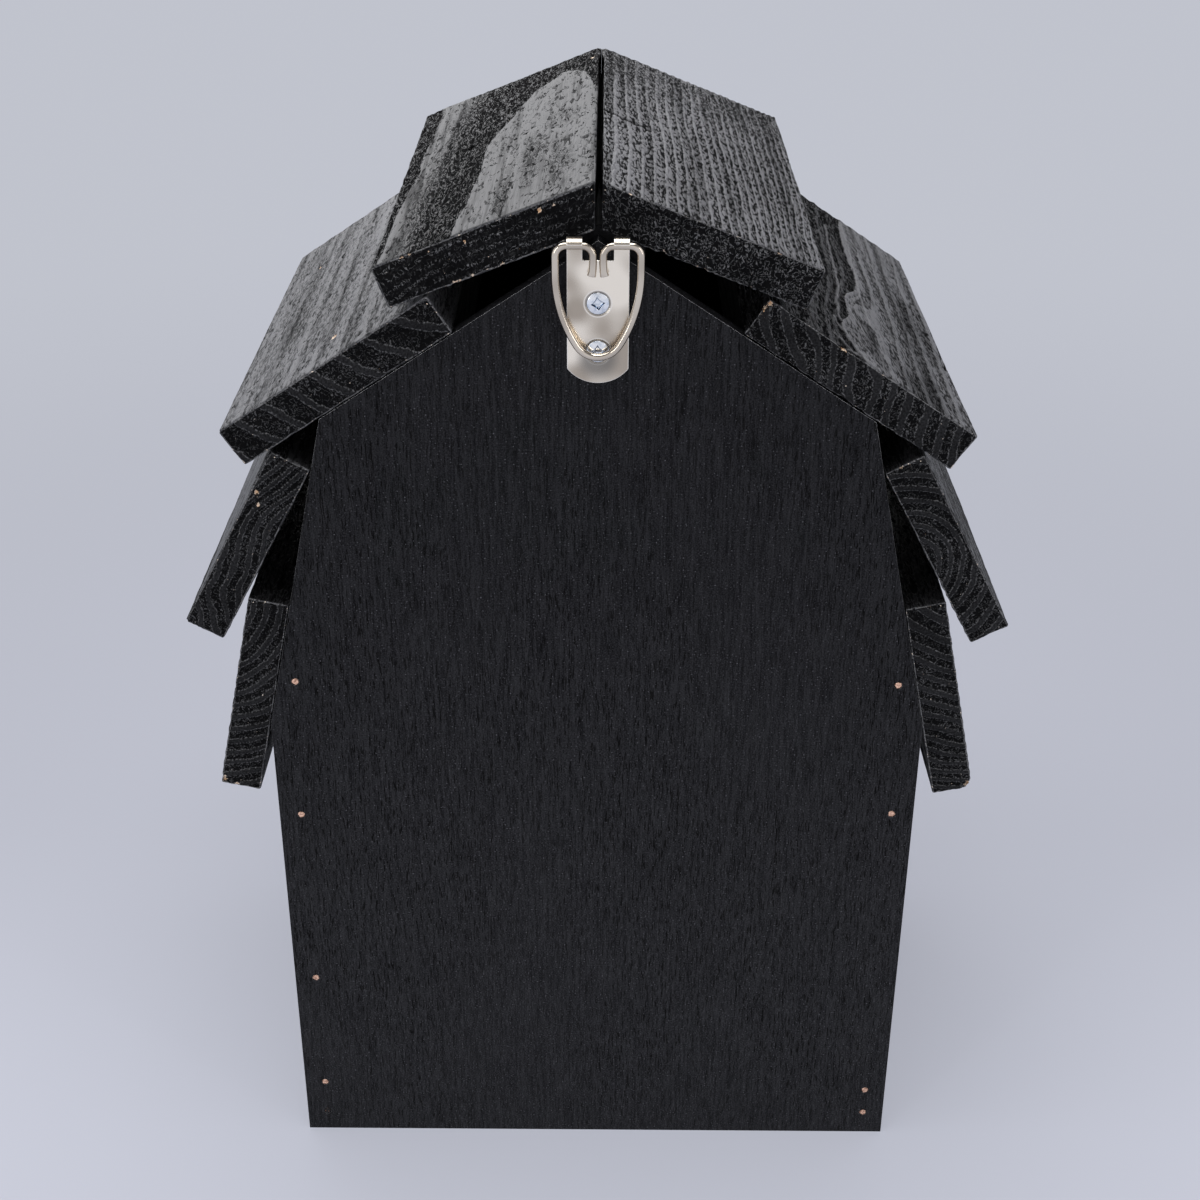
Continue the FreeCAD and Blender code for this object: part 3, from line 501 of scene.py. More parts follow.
def make_board(node, side, wood):
    """Rebuilds a CAD board as worn timber that stays inside the CAD board."""
    axes, low, high = board_axes(node, side)
    size = high - low
    us = spread(size[0], BOARD_STEP_ACROSS, BOARD_ARRIS)
    vs = spread(size[1], BOARD_STEP_ALONG, BOARD_ARRIS)
    ws = spread(size[2], BOARD_STEP_ACROSS, BOARD_ARRIS)
    block, faces = shell(us, vs, ws)
    core = np.clip(block, BOARD_ARRIS, size - BOARD_ARRIS)
    normal = block - core
    normal /= np.linalg.norm(normal, axis=1, keepdims=True)
    point = core + normal * BOARD_ARRIS
    depth, attributes = board_depth(wood, normal, *point.T)
    moved = point - normal * depth[:, None]
    if wood["mitre"]:
        slope = abs(axes[2][0]) / axes[2][2]
        start = slope * (size[2] - moved[:, 2])
        moved[:, 0] = start + moved[:, 0] * (size[0] - start) / size[0]
    world = (moved + low) @ axes
    if wood["mitre"]:
        closed = smooth_step(*SEAM_CLOSES_ALONG, point[:, 1]) * smooth_step(*SEAM_CLOSES_BELOW, point[:, 2])
        far = smooth_step(*FAR_SEAM_ALONG, point[:, 1]) * smooth_step(*FAR_SEAM_BELOW, point[:, 2])
        closed = np.maximum(closed, far) * (block[:, 0] == 0)
        world[:, 0] += closed * (side * MITRE_CLEARANCE - world[:, 0])
    board = grid_object(node + "_timber", world * MM, faces[:, ::-1] if side < 0 else faces)
    store(board, "wood", point * MM)
    for name, values in attributes.items():
        store(board, name, values)
    board.data.materials.append(stained_board(node + "_stain", wood))
    finish_piece(board, node)


def stained_board(name, wood):
    """Black stain on sawn wood, from the attributes that the board's points carry, with painted shade in its
    hollows and painted highlights on its arrises and end grain.
    """
    n = Nodes(name)
    where = n.attribute("wood", True)
    ring, torn = n.attribute("ring"), n.attribute("torn")
    end, bare, sunk = n.attribute("end"), n.attribute("bare"), n.attribute("sunk")
    rough_band = n.attribute("rough_band")
    gloom = n.product(torn, n.inverse(end), wood["gloom"])
    phase = n.math("FRACT", ring)
    late = n.product(n.ramp(phase, 0.0, 0.07), n.ramp(phase, 0.20, 0.44, 1.0, 0.0))
    far = n.ramp(n.add("ShaderNodeSeparateXYZ", {0: where}).outputs["Y"], 0.10, 0.19, 1.0, 0.45)
    lines = n.product(far, wood["lined"])

    ridge = n.product(late, lines)
    torn = n.product(torn, n.inverse(ridge))
    along = n.noise(n.stretch(where, (1, 0.22, 1), (0, 0, 0.12)), 760, 2, 0.55, 0.7)
    streak = n.noise(n.stretch(where, (1, 0.05, 1)), 420, 3, 0.6)
    hatch = n.noise(n.stretch(where, (1, 0.24, 1), (0, 0, wood["hatch"])), 1150, 2, 0.55)
    pit = n.ramp(n.noise(n.stretch(where, (1, 0.35, 1)), 700, 2, 0.5), 0.64, 0.72)
    cloud = n.noise(n.stretch(where, (1, 0.5, 1)), 45, 3, 0.55)
    torn_ridge = n.product(n.worms(along, 0.085), n.ramp(hatch, 0.30, 0.56, 0.35, 1.0))
    smooth_ridge = n.product(n.ramp(streak, 0.36, 0.60, 0.70, 1.0), n.ramp(along, 0.33, 0.47, 0.55, 1.0))
    smooth_ridge = n.math("SUBTRACT", smooth_ridge, n.math("MULTIPLY", pit, 0.8), clamp=True)
    smooth_ridge = n.blend(ridge, smooth_ridge, n.ramp(hatch, 0.36, 0.54, 0.62, 1.0))
    side = n.blend(torn, smooth_ridge, torn_ridge)
    lined = n.product(n.ramp(phase, 0.30, 0.95, 0.84, 0.50), n.ramp(hatch, 0.38, 0.58, 0.24, 1.15))
    side = n.blend(n.product(n.inverse(late), lines), side, lined)
    long_streak = n.noise(n.stretch(where, (1, 0.025, 1)), 170, 3, 0.6)
    side = n.product(side, n.ramp(long_streak, 0.34, 0.66, 0.76, 1.16))

    grit = n.noise(where, 500, 2, 0.6, 0.9)
    fine_grit = n.noise(where, 1400, 2, 0.6)
    # Painted glints: light strokes on the broken fibres of the end grain, in rows on boards whose rings show
    # flat there.
    glint = n.product(n.worms(grit, 0.045), n.ramp(cloud, 0.40, 0.62, 0.35, 1.0),
                      n.ramp(fine_grit, 0.40, 0.52), rough_band)
    if wood["rows"]:
        glint = n.product(glint, n.ramp(phase, 0.0, 0.15), n.ramp(phase, 0.45, 0.65, 1.0, 0.12))
    cut = n.blend(rough_band, n.ramp(fine_grit, 0.3, 0.7, 0.32, 0.52), n.ramp(glint, 0.0, 1.0, 0.24, 0.8))
    contour = n.ramp(n.product(rough_band, n.inverse(rough_band)), 0.15, 0.25)
    height = n.blend(end, side, cut)

    # Hollows of the relief are painted darker, down to near black: painted shade where the wood lies low. The
    # dark chips and the mitre faces are painted dark here too.
    lift = n.product(height, n.ramp(cloud, 0.25, 0.75, 0.65, 1.0), n.inverse(sunk))
    # The worn stain of the long faces is scaled per board: partly the stain itself and partly painted light
    # that sets how bright each board's long faces look.
    worn_stain_with_painted_light = [min(1.0, value * wood["tone_and_painted_light"]) for value in WORN_STAIN[:3]] + [1]
    colour = n.mix(n.ramp(lift, 0.10, 0.95), BLACK_AND_RECESS_SHADE, n.mix(end, worn_stain_with_painted_light, WORN_STAIN))
    colour = n.mix(gloom, colour, BLACK_AND_RECESS_SHADE)
    colour = n.mix(n.product(glint, end, wood["glint"]), colour, GLINT)
    colour = n.mix(n.product(contour, end, n.ramp(fine_grit, 0.40, 0.60), 0.45), colour, GLINT)
    # Painted highlight along the arrises and along the thin lines of the top, over the wear of the arrises.
    edge = n.product(n.ramp(n.attribute("edge"), 0.35, 0.95), n.ramp(fine_grit, 0.34, 0.54), 0.8)
    bright = n.math("MAXIMUM", edge, n.attribute("line"))
    colour = n.mix(bright, colour, n.mix(end, WORN_ARRIS_AND_HIGHLIGHT, GLINT))
    flecks = n.total(n.noise(where, 1000, 1, 0.5), (n.attribute("edge"), 0.07))
    speck = n.product(n.ramp(flecks, 0.765, 0.79), n.ramp(end, 0.05, 0.6), wood["specks"])
    colour = n.mix(speck, colour, SPLINTER)
    split = n.total(bare, (n.math("SUBTRACT", fine_grit, 0.5), 2.2))
    colour = n.mix(n.ramp(split, 0.50, 0.70), colour, n.mix(n.ramp(grit, 0.35, 0.65), RAW_WOOD, SPLINTER))

    rough = n.ramp(height, 0.05, 0.85, 0.95, 0.40)
    sheen = n.product(n.ramp(lift, 0.05, 0.7, 0.06, 0.27), n.inverse(n.math("MULTIPLY", gloom, 0.9)))
    normal = n.bump(height, n.blend(end, 0.9, 1.0), 0.0005)
    return n.surface(Base_Color=colour, Roughness=rough, Normal=normal, Specular_IOR_Level=sheen)


# Panels, walls and inner timber


PLY_DARK = (0.0030, 0.0030, 0.0038, 1)
PLY_LIGHT = (0.0125, 0.0125, 0.0146, 1)
PLY_THIN_STAIN = (0.034, 0.034, 0.038, 1)
PLY_PORE = (0.0008, 0.0008, 0.0010, 1)
PLY_DUST = (0.10, 0.10, 0.11, 1)
PLY_WORN_EDGE_AND_HIGHLIGHT = (0.80, 0.80, 0.80, 1)


def plywood(name, worn=0.0):
    """Fine-grained plywood under stain, lighter towards the bottom; worn is how far the stain is worn off the
    edges, most of all up the gable, where the bare edge also carries a painted highlight.
    """
    n = Nodes(name)
    where = n.place()
    pores = n.noise(n.stretch(where, (1, 1, 0.10)), 2400, 1, 0.5, 0.3)
    speckle = n.noise(where, 1700, 2, 0.7)
    fibre = n.noise(n.stretch(where, (1, 1, 0.16)), 2000, 2, 0.6)
    grain = n.noise(n.stretch(where, (1, 1, 0.06)), 900, 3, 0.6)
    height_up = n.add("ShaderNodeSeparateXYZ", {0: where}).outputs["Z"]
    cloud = n.noise(n.stretch(where, (1, 1, 0.5)), 16, 3, 0.55)
    dust = n.noise(where, 1700, 0, 0.5)
    cut = n.product(n.ramp(pores, 0.58, 0.645), n.ramp(cloud, 0.30, 0.62, 0.55, 1.0))
    mottle = n.total((grain, 0.45), (speckle, 0.55))
    colour = n.mix(n.ramp(mottle, 0.38, 0.62), PLY_DARK, PLY_LIGHT)
    # Lighter patches of thin stain, many more of them low down: the panel is lighter towards the bottom.
    thin = n.product(n.ramp(n.total((fibre, 0.5), (speckle, 0.5)), 0.48, 0.66),
                     n.ramp(height_up, 0.06, 0.36, 0.8, 0.12))
    colour = n.mix(thin, colour, PLY_THIN_STAIN)
    colour = n.mix(cut, colour, PLY_PORE)
    colour = n.mix(n.ramp(dust, 0.755, 0.81, 0.0, 0.9), colour, PLY_DUST)
    # The edges where the stain is worn off are painted near white, most of all up the gable: worn wood with a
    # painted highlight on it.
    worn_edge_and_highlight = n.product(n.ramp(grain, 0.35, 0.6, 0.6 * worn, worn), n.ramp(height_up, 0.29, 0.31, 0.4, 1.0))
    colour = n.mix(worn_edge_and_highlight, colour, PLY_WORN_EDGE_AND_HIGHLIGHT)
    rough = n.math("MAXIMUM", n.ramp(grain, 0.3, 0.7, 0.50, 0.62), n.math("MULTIPLY", cut, 0.95))
    height = n.total((grain, 0.45), (cut, -1.0), (n.noise(n.stretch(where, (1, 1, 0.3)), 2000, 2), 0.3))
    normal = n.bump(height, 0.7, 0.00025)
    sheen = n.product(n.ramp(height_up, 0.05, 0.36, 0.23, 0.15), n.ramp(mottle, 0.38, 0.62, 0.60, 1.36))
    return n.surface(Base_Color=colour, Roughness=rough, Normal=normal, Specular_IOR_Level=sheen)


def rough_timber(name, dark, light, stretch, specular):
    """Rough-sawn softwood whose grain runs along the axis with the smallest stretch."""
    n = Nodes(name)
    where = n.place()
    grain = n.noise(n.stretch(where, stretch), 330, 4, 0.6, 0.4)
    fibre = n.noise(n.stretch(where, stretch), 1100, 3, 0.6)
    cloud = n.noise(where, 22, 3, 0.5)
    colour = n.mix(n.ramp(grain, 0.3, 0.7), light, dark)
    colour = n.mix(n.ramp(cloud, 0.35, 0.75, 0.0, 0.35), colour, dark)
    rough = n.ramp(fibre, 0.3, 0.7, 0.55, 0.85)
    normal = n.bump(n.total((grain, 0.7), (fibre, 0.5)), 0.6, 0.0004)
    return n.surface(Base_Color=colour, Roughness=rough, Normal=normal, Specular_IOR_Level=specular)


SHARP_ANGLE = math.radians(28)
FLAT_ANGLE = math.radians(0.5)
SAME_POINT = 1e-6


def softened(node, arris, material, edge_material=None, mould=None):
    """The same piece as the CAD node with its sharp edges eased, in their own material if one is given.

    mould moves points of the piece before that.
    """
    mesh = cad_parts[node].data.copy()
    mesh.name = node + "_finished"
    mesh.materials.clear()
    mesh.materials.append(material)
    if edge_material:
        mesh.materials.append(edge_material)
    work = bmesh.new()
    work.from_mesh(mesh)
    bmesh.ops.remove_doubles(work, verts=work.verts, dist=SAME_POINT)
    bmesh.ops.dissolve_limit(work, angle_limit=FLAT_ANGLE, verts=work.verts, edges=work.edges)
    if mould:
        for vertex in work.verts:
            vertex.co = mould(vertex.co)
    sharp = [e for e in work.edges if len(e.link_faces) == 2 and e.calc_face_angle(0) > SHARP_ANGLE]
    bmesh.ops.bevel(
        work, geom=sharp, offset=arris * MM, offset_type="OFFSET", segments=2,
        profile=0.5, affect="EDGES", clamp_overlap=True, material=1 if edge_material else -1,
    )
    for face in work.faces:
        face.smooth = True
    bmesh.ops.recalc_face_normals(work, faces=work.faces)
    work.to_mesh(mesh)
    work.free()
    obj = add_object(node + "_finished", mesh)
    weighted = obj.modifiers.new("Normals", "WEIGHTED_NORMAL")
    weighted.keep_sharp = True
    finish_piece(obj, node)


# Metal: hanger plate, bail, screws and pins

PLATE_THICKNESS = 1.5
PLATE_EDGE = 0.26
EAR_AXIS_HEIGHT = 375.4 * MM
EAR_AXIS_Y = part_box("back_panel")[0].y - 2.83 * MM
EAR_CAD_WRAP = math.radians(140)
EAR_WRAP = math.radians(164)
DIMPLE_RADIUS = 4.45
DIMPLE_WIDTH = 0.4
# Painted marks on the plate: a painted highlight on each dimple's rim, painted shade in the dip round the
# screw head, and a patch of painted shade under the wire.
RIM_HIGHLIGHT = (0.95, 0.90, 0.82, 1)
SEAT_SHADE = (0.16, 0.145, 0.125, 1)
SHADE_UNDER_WIRE = (0.20, 0.19, 0.175, 1)
BAIL_TILT = math.radians(-2.5)
BAIL_LEG = 1.6
BAIL_LEG_DROP = 9.8
BAIL_CORNER = 3.4
BAIL_HALF = 13.6
BAIL_WIDEST_DROP = 9.0
BAIL_TIP_RADIUS = 8.0
BAIL_TIP_DROP = 28.4
WIRE_RADIUS = 1.25
WIRE_SIDES = 20
WIRE_END_SWELL = 0.22
WIRE_END_LENGTH = 1.8
WIRE_END_ROUNDING = 0.25


def islands(node):
    """The low and high corners of each separate solid in a node, in metres."""
    work = bmesh.new()
    work.from_mesh(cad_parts[node].data)
    bmesh.ops.remove_doubles(work, verts=work.verts, dist=SAME_POINT)
    found, waiting = [], set(work.verts)
    while waiting:
        stack, group = [waiting.pop()], []
        while stack:
            vertex = stack.pop()
            group.append(vertex.co.copy())
            for edge in vertex.link_edges:
                other = edge.other_vert(vertex)
                if other in waiting:
                    waiting.remove(other)
                    stack.append(other)
        low = Vector([min(p[i] for p in group) for i in range(3)])
        high = Vector([max(p[i] for p in group) for i in range(3)])
        found.append((low, high))
    work.free()
    return sorted(found, key=lambda box: (round(box[0].z, 4), box[0].x))


def metal(name, colour, worn, roughness, dimples=(), shaded_place=None):
    """Plated metal with soft clouding; dimples are places of pressed rings, each with painted shade in its
    dip and a painted highlight on its rim, and the last argument, if given, is the centre of a patch of
    painted shade under the wire.
    """
    n = Nodes(name)
    where = n.place()
    cloud = n.noise(where, 70, 1, 0.4)
    fine = n.noise(where, 2600, 3, 0.6)
    tint = n.mix(n.ramp(cloud, 0.35, 0.7), colour, worn)
    height = n.math("MULTIPLY", fine, 0.04)
    for centre in dimples:
        # Each dimple dips round the screw head, with painted shade in the dip and a painted highlight on its
        # rim.
        apart = n.add("ShaderNodeVectorMath", {0: where, 1: centre}, operation="DISTANCE").outputs["Value"]
        gap = n.math("SUBTRACT", apart, DIMPLE_RADIUS * MM)
        ring = n.ramp(n.math("ABSOLUTE", gap), 0.0, DIMPLE_WIDTH * MM, 1.0, 0.0)
        dip_and_shade = n.ramp(gap, -0.1 * MM, -0.5 * MM)
        height = n.math("SUBTRACT", height, n.math("MULTIPLY", dip_and_shade, 1.2))
        tint = n.mix(n.math("MULTIPLY", ring, 0.8), tint, RIM_HIGHLIGHT)
        tint = n.mix(n.math("MULTIPLY", dip_and_shade, 0.75), tint, SEAT_SHADE)
    # A patch of painted shade under the wire.
    if shaded_place:
        apart = n.add("ShaderNodeVectorMath", {0: where, 1: shaded_place}, operation="DISTANCE").outputs["Value"]
        tint = n.mix(n.ramp(apart, 3.5 * MM, 8.5 * MM, 0.75, 0.0), tint, SHADE_UNDER_WIRE)
    rough = n.ramp(cloud, 0.4, 0.8, roughness - 0.04, roughness + 0.08)
    return n.surface(Base_Color=tint, Metallic=1.0, Roughness=rough, Normal=n.bump(height, 0.6, 0.0002))


def roll_ear(point):
    """Rolls the ears' front lips a little further round the wire; other points stay."""
    back, up = point.y - EAR_AXIS_Y, point.z - EAR_AXIS_HEIGHT
    angle = math.atan2(up, back)
    quarter = math.pi / 2
    if angle <= quarter:
        return point
    further = quarter + (angle - quarter) * (EAR_WRAP - quarter) / (EAR_CAD_WRAP - quarter)
    radius = math.hypot(back, up)
    rolled_y = EAR_AXIS_Y + radius * math.cos(further)
    rolled_z = EAR_AXIS_HEIGHT + radius * math.sin(further)
    return Vector((point.x, rolled_y, rolled_z))


def arc_points(centre, radius, start, stop, count):
    angles = np.linspace(math.radians(start), math.radians(stop), count)
    return [(centre[0] + radius * math.cos(a), centre[1] + radius * math.sin(a)) for a in angles]


def bail_path():
    """The wire's middle line in its own plane: in at one leg, round the tip and out at the other."""
    fall = BAIL_TIP_DROP - BAIL_WIDEST_DROP
    side_radius = (BAIL_HALF ** 2 + fall ** 2 - BAIL_TIP_RADIUS ** 2) / (2 * (BAIL_HALF - BAIL_TIP_RADIUS))
    side_centre = (BAIL_HALF - side_radius, -BAIL_WIDEST_DROP)
    turn = math.degrees(math.atan2(fall, -side_centre[0]))
    half = [
        (BAIL_LEG + 0.5, -BAIL_LEG_DROP),
        (BAIL_LEG + 0.15, -BAIL_LEG_DROP + 1.6),
        (BAIL_LEG, -BAIL_CORNER - 2),
    ]
    half += arc_points((BAIL_LEG + BAIL_CORNER, -BAIL_CORNER), BAIL_CORNER, 180, 90, 10)
    half += arc_points((BAIL_HALF - BAIL_CORNER, -BAIL_CORNER), BAIL_CORNER, 90, 0, 10)
    half += arc_points(side_centre, side_radius, 0, -turn, 20)
    tip = arc_points((0, -BAIL_TIP_DROP), BAIL_TIP_RADIUS, -turn, turn - 180, 19)[1:-1]
    return half + tip + [(-x, z) for x, z in reversed(half)]


def make_bail():
    """Sweeps the wire along its path, with slightly swollen ends, and hangs it where the CAD wire hangs."""
    low, high = (np.array(corner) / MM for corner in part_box("hanger_bail"))
    path = np.array(bail_path())
    step = np.gradient(path, axis=0)
    step /= np.linalg.norm(step, axis=1, keepdims=True)
    inward = np.stack((-step[:, 1], step[:, 0]), 1)
    lengths = np.concatenate(([0], np.cumsum(np.linalg.norm(np.diff(path, axis=0), axis=1))))
    from_end = np.minimum(lengths, lengths[-1] - lengths)
    swell = 1 + WIRE_END_SWELL * (1 - smooth_step(0.0, WIRE_END_LENGTH, from_end))
    work = bmesh.new()
    rings = []
    for (x, z), (ix, iz), wide in zip(path, inward, swell):
        ring = []
        for a in np.linspace(0, 2 * math.pi, WIRE_SIDES, endpoint=False):
            across, deep = WIRE_RADIUS * wide * math.cos(a), WIRE_RADIUS * math.sin(a)
            ring.append(work.verts.new((x + ix * across, deep, z + iz * across)))
        rings.append(ring)
    for ring, following in zip(rings, rings[1:]):
        for j in range(WIRE_SIDES):
            k = (j + 1) % WIRE_SIDES
            work.faces.new((ring[j], ring[k], following[k], following[j]))
    caps = [work.faces.new(rings[0]), work.faces.new(list(reversed(rings[-1])))]
    rims = [edge for cap in caps for edge in cap.edges]
    bmesh.ops.bevel(
        work, geom=rims, offset=WIRE_END_ROUNDING, offset_type="OFFSET", segments=2,
        profile=0.5, affect="EDGES",
    )
    bmesh.ops.recalc_face_normals(work, faces=work.faces)
    for face in work.faces:
        face.smooth = True
    mesh = bpy.data.meshes.new("hanger_bail_wire")
    work.to_mesh(mesh)
    work.free()
    rest = Matrix.Rotation(BAIL_TILT, 4, "X")
    mesh.transform(Matrix.Scale(MM, 4) @ rest)
    wire_low_y = min(v.co.y for v in mesh.vertices) / MM
    wire_high_z = max(v.co.z for v in mesh.vertices) / MM
    mesh.transform(Matrix.Translation(Vector((0, low[1] - wire_low_y, high[2] - wire_high_z)) * MM))
    obj = add_object("hanger_bail_wire", mesh)
    mesh.materials.append(metal("nickel_wire", (0.68, 0.61, 0.52, 1), (0.50, 0.44, 0.37, 1), 0.12))
    finish_piece(obj, "hanger_bail", body="bail")


def lathe(profile, sides, shape):
    """Turns (radius, depth) pairs round the Y axis; shape sinks each point further."""
    angles = np.linspace(0, 2 * math.pi, sides, endpoint=False)
    blank = [(0.0, profile[0][1], 0.0)]
    for radius, depth in profile[1:-1]:
        blank += [(radius * math.cos(a), depth, radius * math.sin(a)) for a in angles]
    blank.append((0.0, profile[-1][1], 0.0))
    sunk = [shape(x, z, y) for x, y, z in blank]
    points = [(x, y + s, z) for (x, y, z), s in zip(blank, sunk)]
    faces = []
    rings = len(profile) - 2
    last = 1 + (rings - 1) * sides
    for j in range(sides):
        k = (j + 1) % sides
        faces.append((0, 1 + j, 1 + k))
        faces.append((len(points) - 1, last + k, last + j))
        for i in range(rings - 1):
            a, b = 1 + i * sides, 1 + (i + 1) * sides
            faces.append((a + j, b + j, b + k, a + k))
    return points, faces, sunk


def turned_pieces(name, node, material, blanks):
    """One mesh from several turned blanks: each one's place, its points, its faces and how far they sink."""
    work = bmesh.new()
    for place, points, faces, sunk in blanks:
        verts = [work.verts.new(Vector(p) * MM + place) for p in points]
        for face in faces:
            work.faces.new([verts[i] for i in face]).smooth = True
    bmesh.ops.recalc_face_normals(work, faces=work.faces)
    mesh = bpy.data.meshes.new(name)
    work.to_mesh(mesh)
    work.free()
    obj = add_object(name, mesh)
    store(obj, "sunk", [value for blank in blanks for value in blank[3]])
    mesh.materials.append(material)
    finish_piece(obj, node)


HEAD_RADIUS = 3.6
HEAD_RISE = 0.75
SHANK_RADIUS = 1.75
SHANK_POINT = 3.5
RECESS_REACH = 2.5
RECESS_DEPTH = 1.2


def cross_recess(x, z, turn):
    """Depth of a cross recess with tapered arms at a point of the screw's face."""
    u = abs(x * math.cos(turn) + z * math.sin(turn))
    v = abs(z * math.cos(turn) - x * math.sin(turn))
    spread_out = (u ** 0.8 + v ** 0.8) ** 1.25
    return RECESS_DEPTH * float(smooth_step(RECESS_REACH, 0.66 * RECESS_REACH, spread_out))


def make_screws():
    """Countersunk screws with a low domed face and a cross recess."""
    n = Nodes("bright_zinc")
    cloud = n.noise(n.place(), 900, 2, 0.5)
    sunk = n.attribute("sunk")
    # Painted shade, dark blue, on the walls of the cross recess.
    recess_shade = n.product(n.ramp(sunk, 0.02, 0.15), n.ramp(sunk, 1.0, 0.8))
    tint = n.mix(n.ramp(cloud, 0.4, 0.7), (0.86, 0.89, 0.93, 1), (0.62, 0.68, 0.76, 1))
    zinc = n.surface(
        Base_Color=n.mix(recess_shade, tint, (0.06, 0.11, 0.20, 1)), Metallic=1.0,
        Roughness=n.ramp(cloud, 0.3, 0.7, 0.12, 0.22), Normal=n.bump(cloud, 0.15, 0.0001),
    )
    blanks = []
    for number, (low, high) in enumerate(islands("hanger_screws")):
        length = (high.y - low.y) / MM
        middle = Vector(((low.x + high.x) / 2, low.y, (low.z + high.z) / 2))
        face = [(r, HEAD_RISE * (r / HEAD_RADIUS) ** 2) for r in np.linspace(0, HEAD_RADIUS, 31)]
        shank = [
            (HEAD_RADIUS, HEAD_RISE + 0.15), (SHANK_RADIUS, HEAD_RISE + 2.0),
            (SHANK_RADIUS, length - SHANK_POINT), (0.3, length - 0.1), (0, length),
        ]

        def shape(x, z, depth, turn=0.1 * number + 0.04):
            return cross_recess(x, z, turn) if depth <= HEAD_RISE else 0.0

        blanks.append((middle, *lathe(face + shank, 96, shape)))
    turned_pieces("hanger_screws_turned", "hanger_screws", zinc, blanks)


def make_pins(node, outward):
    """Small nails with uneven heads, punched nearly flush; the rear's lowest left one is darkened nearly
    black.
    """
    n = Nodes(node + "_copper")
    patches = n.noise(n.place(), 1500, 3, 0.6)
    copper = n.surface(
        Base_Color=n.mix(
            n.product(n.attribute("sunk"), n.ramp(patches, 0.66, 0.60)),
            n.mix(n.ramp(patches, 0.40, 0.62), (0.90, 0.58, 0.43, 1), (0.36, 0.19, 0.13, 1)), BLACK_AND_RECESS_SHADE,
        ),
        Metallic=0.35, Roughness=n.ramp(patches, 0.3, 0.7, 0.35, 0.6), Normal=n.bump(patches, 0.5, 0.0002),
    )
    blanks = []
    for number, (low, high) in enumerate(islands(node)):
        front, back = (low.y, high.y) if outward < 0 else (high.y, low.y)
        middle = Vector(((low.x + high.x) / 2, front, (low.z + high.z) / 2))
        length = abs(back - front) / MM
        radius = (high.x - low.x) / 2 / MM
        head = [
            (0, 0.12), (0.35 * radius, 0.05), (0.7 * radius, 0.02), (0.93 * radius, 0.12), (radius, 0.4),
        ]
        profile = head + [(radius, 1.2), (0.5 * radius, 1.4), (0.5 * radius, length - 1.5), (0, length)]
        points, faces, sunk = lathe([(r, -outward * d) for r, d in profile], 24, lambda x, z, depth: 0.0)
        uneven = []
        for x, y, z in points:
            angle = math.atan2(z, x)
            trim = 1 - 0.13 * abs(math.sin(2.5 * angle + number)) - 0.06 * math.sin(angle * 3 + 2 * number)
            uneven.append((x * min(trim, 1), y, z * min(trim, 1)))
        darkened_pin = outward < 0 and number == 0 and middle.x < 0
        blanks.append((middle, uneven, faces, [float(darkened_pin)] * len(sunk)))
    turned_pieces(node + "_turned", node, copper, blanks)


# Stage, light and camera

FLOOR_HALF = 12.0
# Floor colours; the one near the box is darker: painted shade round the box, besides the shadow that the
# lamps cast.
FLOOR_NEAR_PAINTED_SHADE = (0.480, 0.494, 0.564, 1)
FLOOR_FAR = (0.530, 0.548, 0.612, 1)


def floor_material():
    """Takes the soft shadow near the box, with a painted shade in its colour there, and turns into an even
    glowing backdrop further out, painted brighter towards the camera.
    """
    n = Nodes("floor")
    where = n.place()
    distance = n.add("ShaderNodeVectorMath", {0: where}, operation="LENGTH").outputs["Value"]
    toward_camera = n.add("ShaderNodeSeparateXYZ", {0: where}).outputs["Y"]
    colour = n.mix(n.ramp(distance, 0.3, 1.2), FLOOR_NEAR_PAINTED_SHADE, FLOOR_FAR)
    lit = n.add("ShaderNodeBsdfDiffuse", {"Color": colour}).outputs[0]
    # Painted light: the glowing floor is made brighter towards the camera.
    painted_light_toward_camera = n.ramp(toward_camera, 0.14, -0.14, 1.0, 1.32)
    even = n.add("ShaderNodeEmission", {"Color": colour, "Strength": painted_light_toward_camera}).outputs[0]
    blend = n.add("ShaderNodeMixShader", {0: n.ramp(distance, 0.15, 0.8, 0.52, 1.0), 1: lit, 2: even})
    n.tree.links.new(blend.outputs[0], n.output.inputs["Surface"])
    return n.material


def make_floor():
    corners = [(x * FLOOR_HALF, y * FLOOR_HALF, 0) for x, y in ((-1, -1), (1, -1), (1, 1), (-1, 1))]
    floor = grid_object("floor", corners, [(0, 1, 2, 3)])
    floor.data.materials.append(floor_material())


def make_world():
    """A pale studio: bright round the horizon, dimmer overhead, where the lamps are."""
    world = bpy.data.worlds.new("studio")
    world.use_nodes = True
    tree = world.node_tree
    background = tree.nodes["Background"]
    direction = tree.nodes.new("ShaderNodeTexCoord")
    parts = tree.nodes.new("ShaderNodeSeparateXYZ")
    level = tree.nodes.new("ShaderNodeMapRange")
    level.interpolation_type = "SMOOTHSTEP"
    for name, value in (("From Min", 0.25), ("From Max", 0.75), ("To Min", 0.80), ("To Max", 0.20)):
        level.inputs[name].default_value = value
    tree.links.new(direction.outputs["Generated"], parts.inputs[0])
    tree.links.new(parts.outputs["Z"], level.inputs["Value"])
    tree.links.new(level.outputs["Result"], background.inputs["Strength"])
    background.inputs["Color"].default_value = (0.95, 0.95, 1.0, 1)
    bpy.context.scene.world = world


def soft_light(name, place, aim, width, height, brightness):
    """A rectangular soft box whose face has the given brightness."""
    data = bpy.data.lights.new(name, "AREA")
    data.shape = "RECTANGLE"
    data.size, data.size_y = width, height
    data.energy = brightness * math.pi * width * height
    lamp = add_object(name, data)
    lamp.location = place
    lamp.rotation_euler = (Vector(aim) - Vector(place)).to_track_quat("-Z", "Y").to_euler()


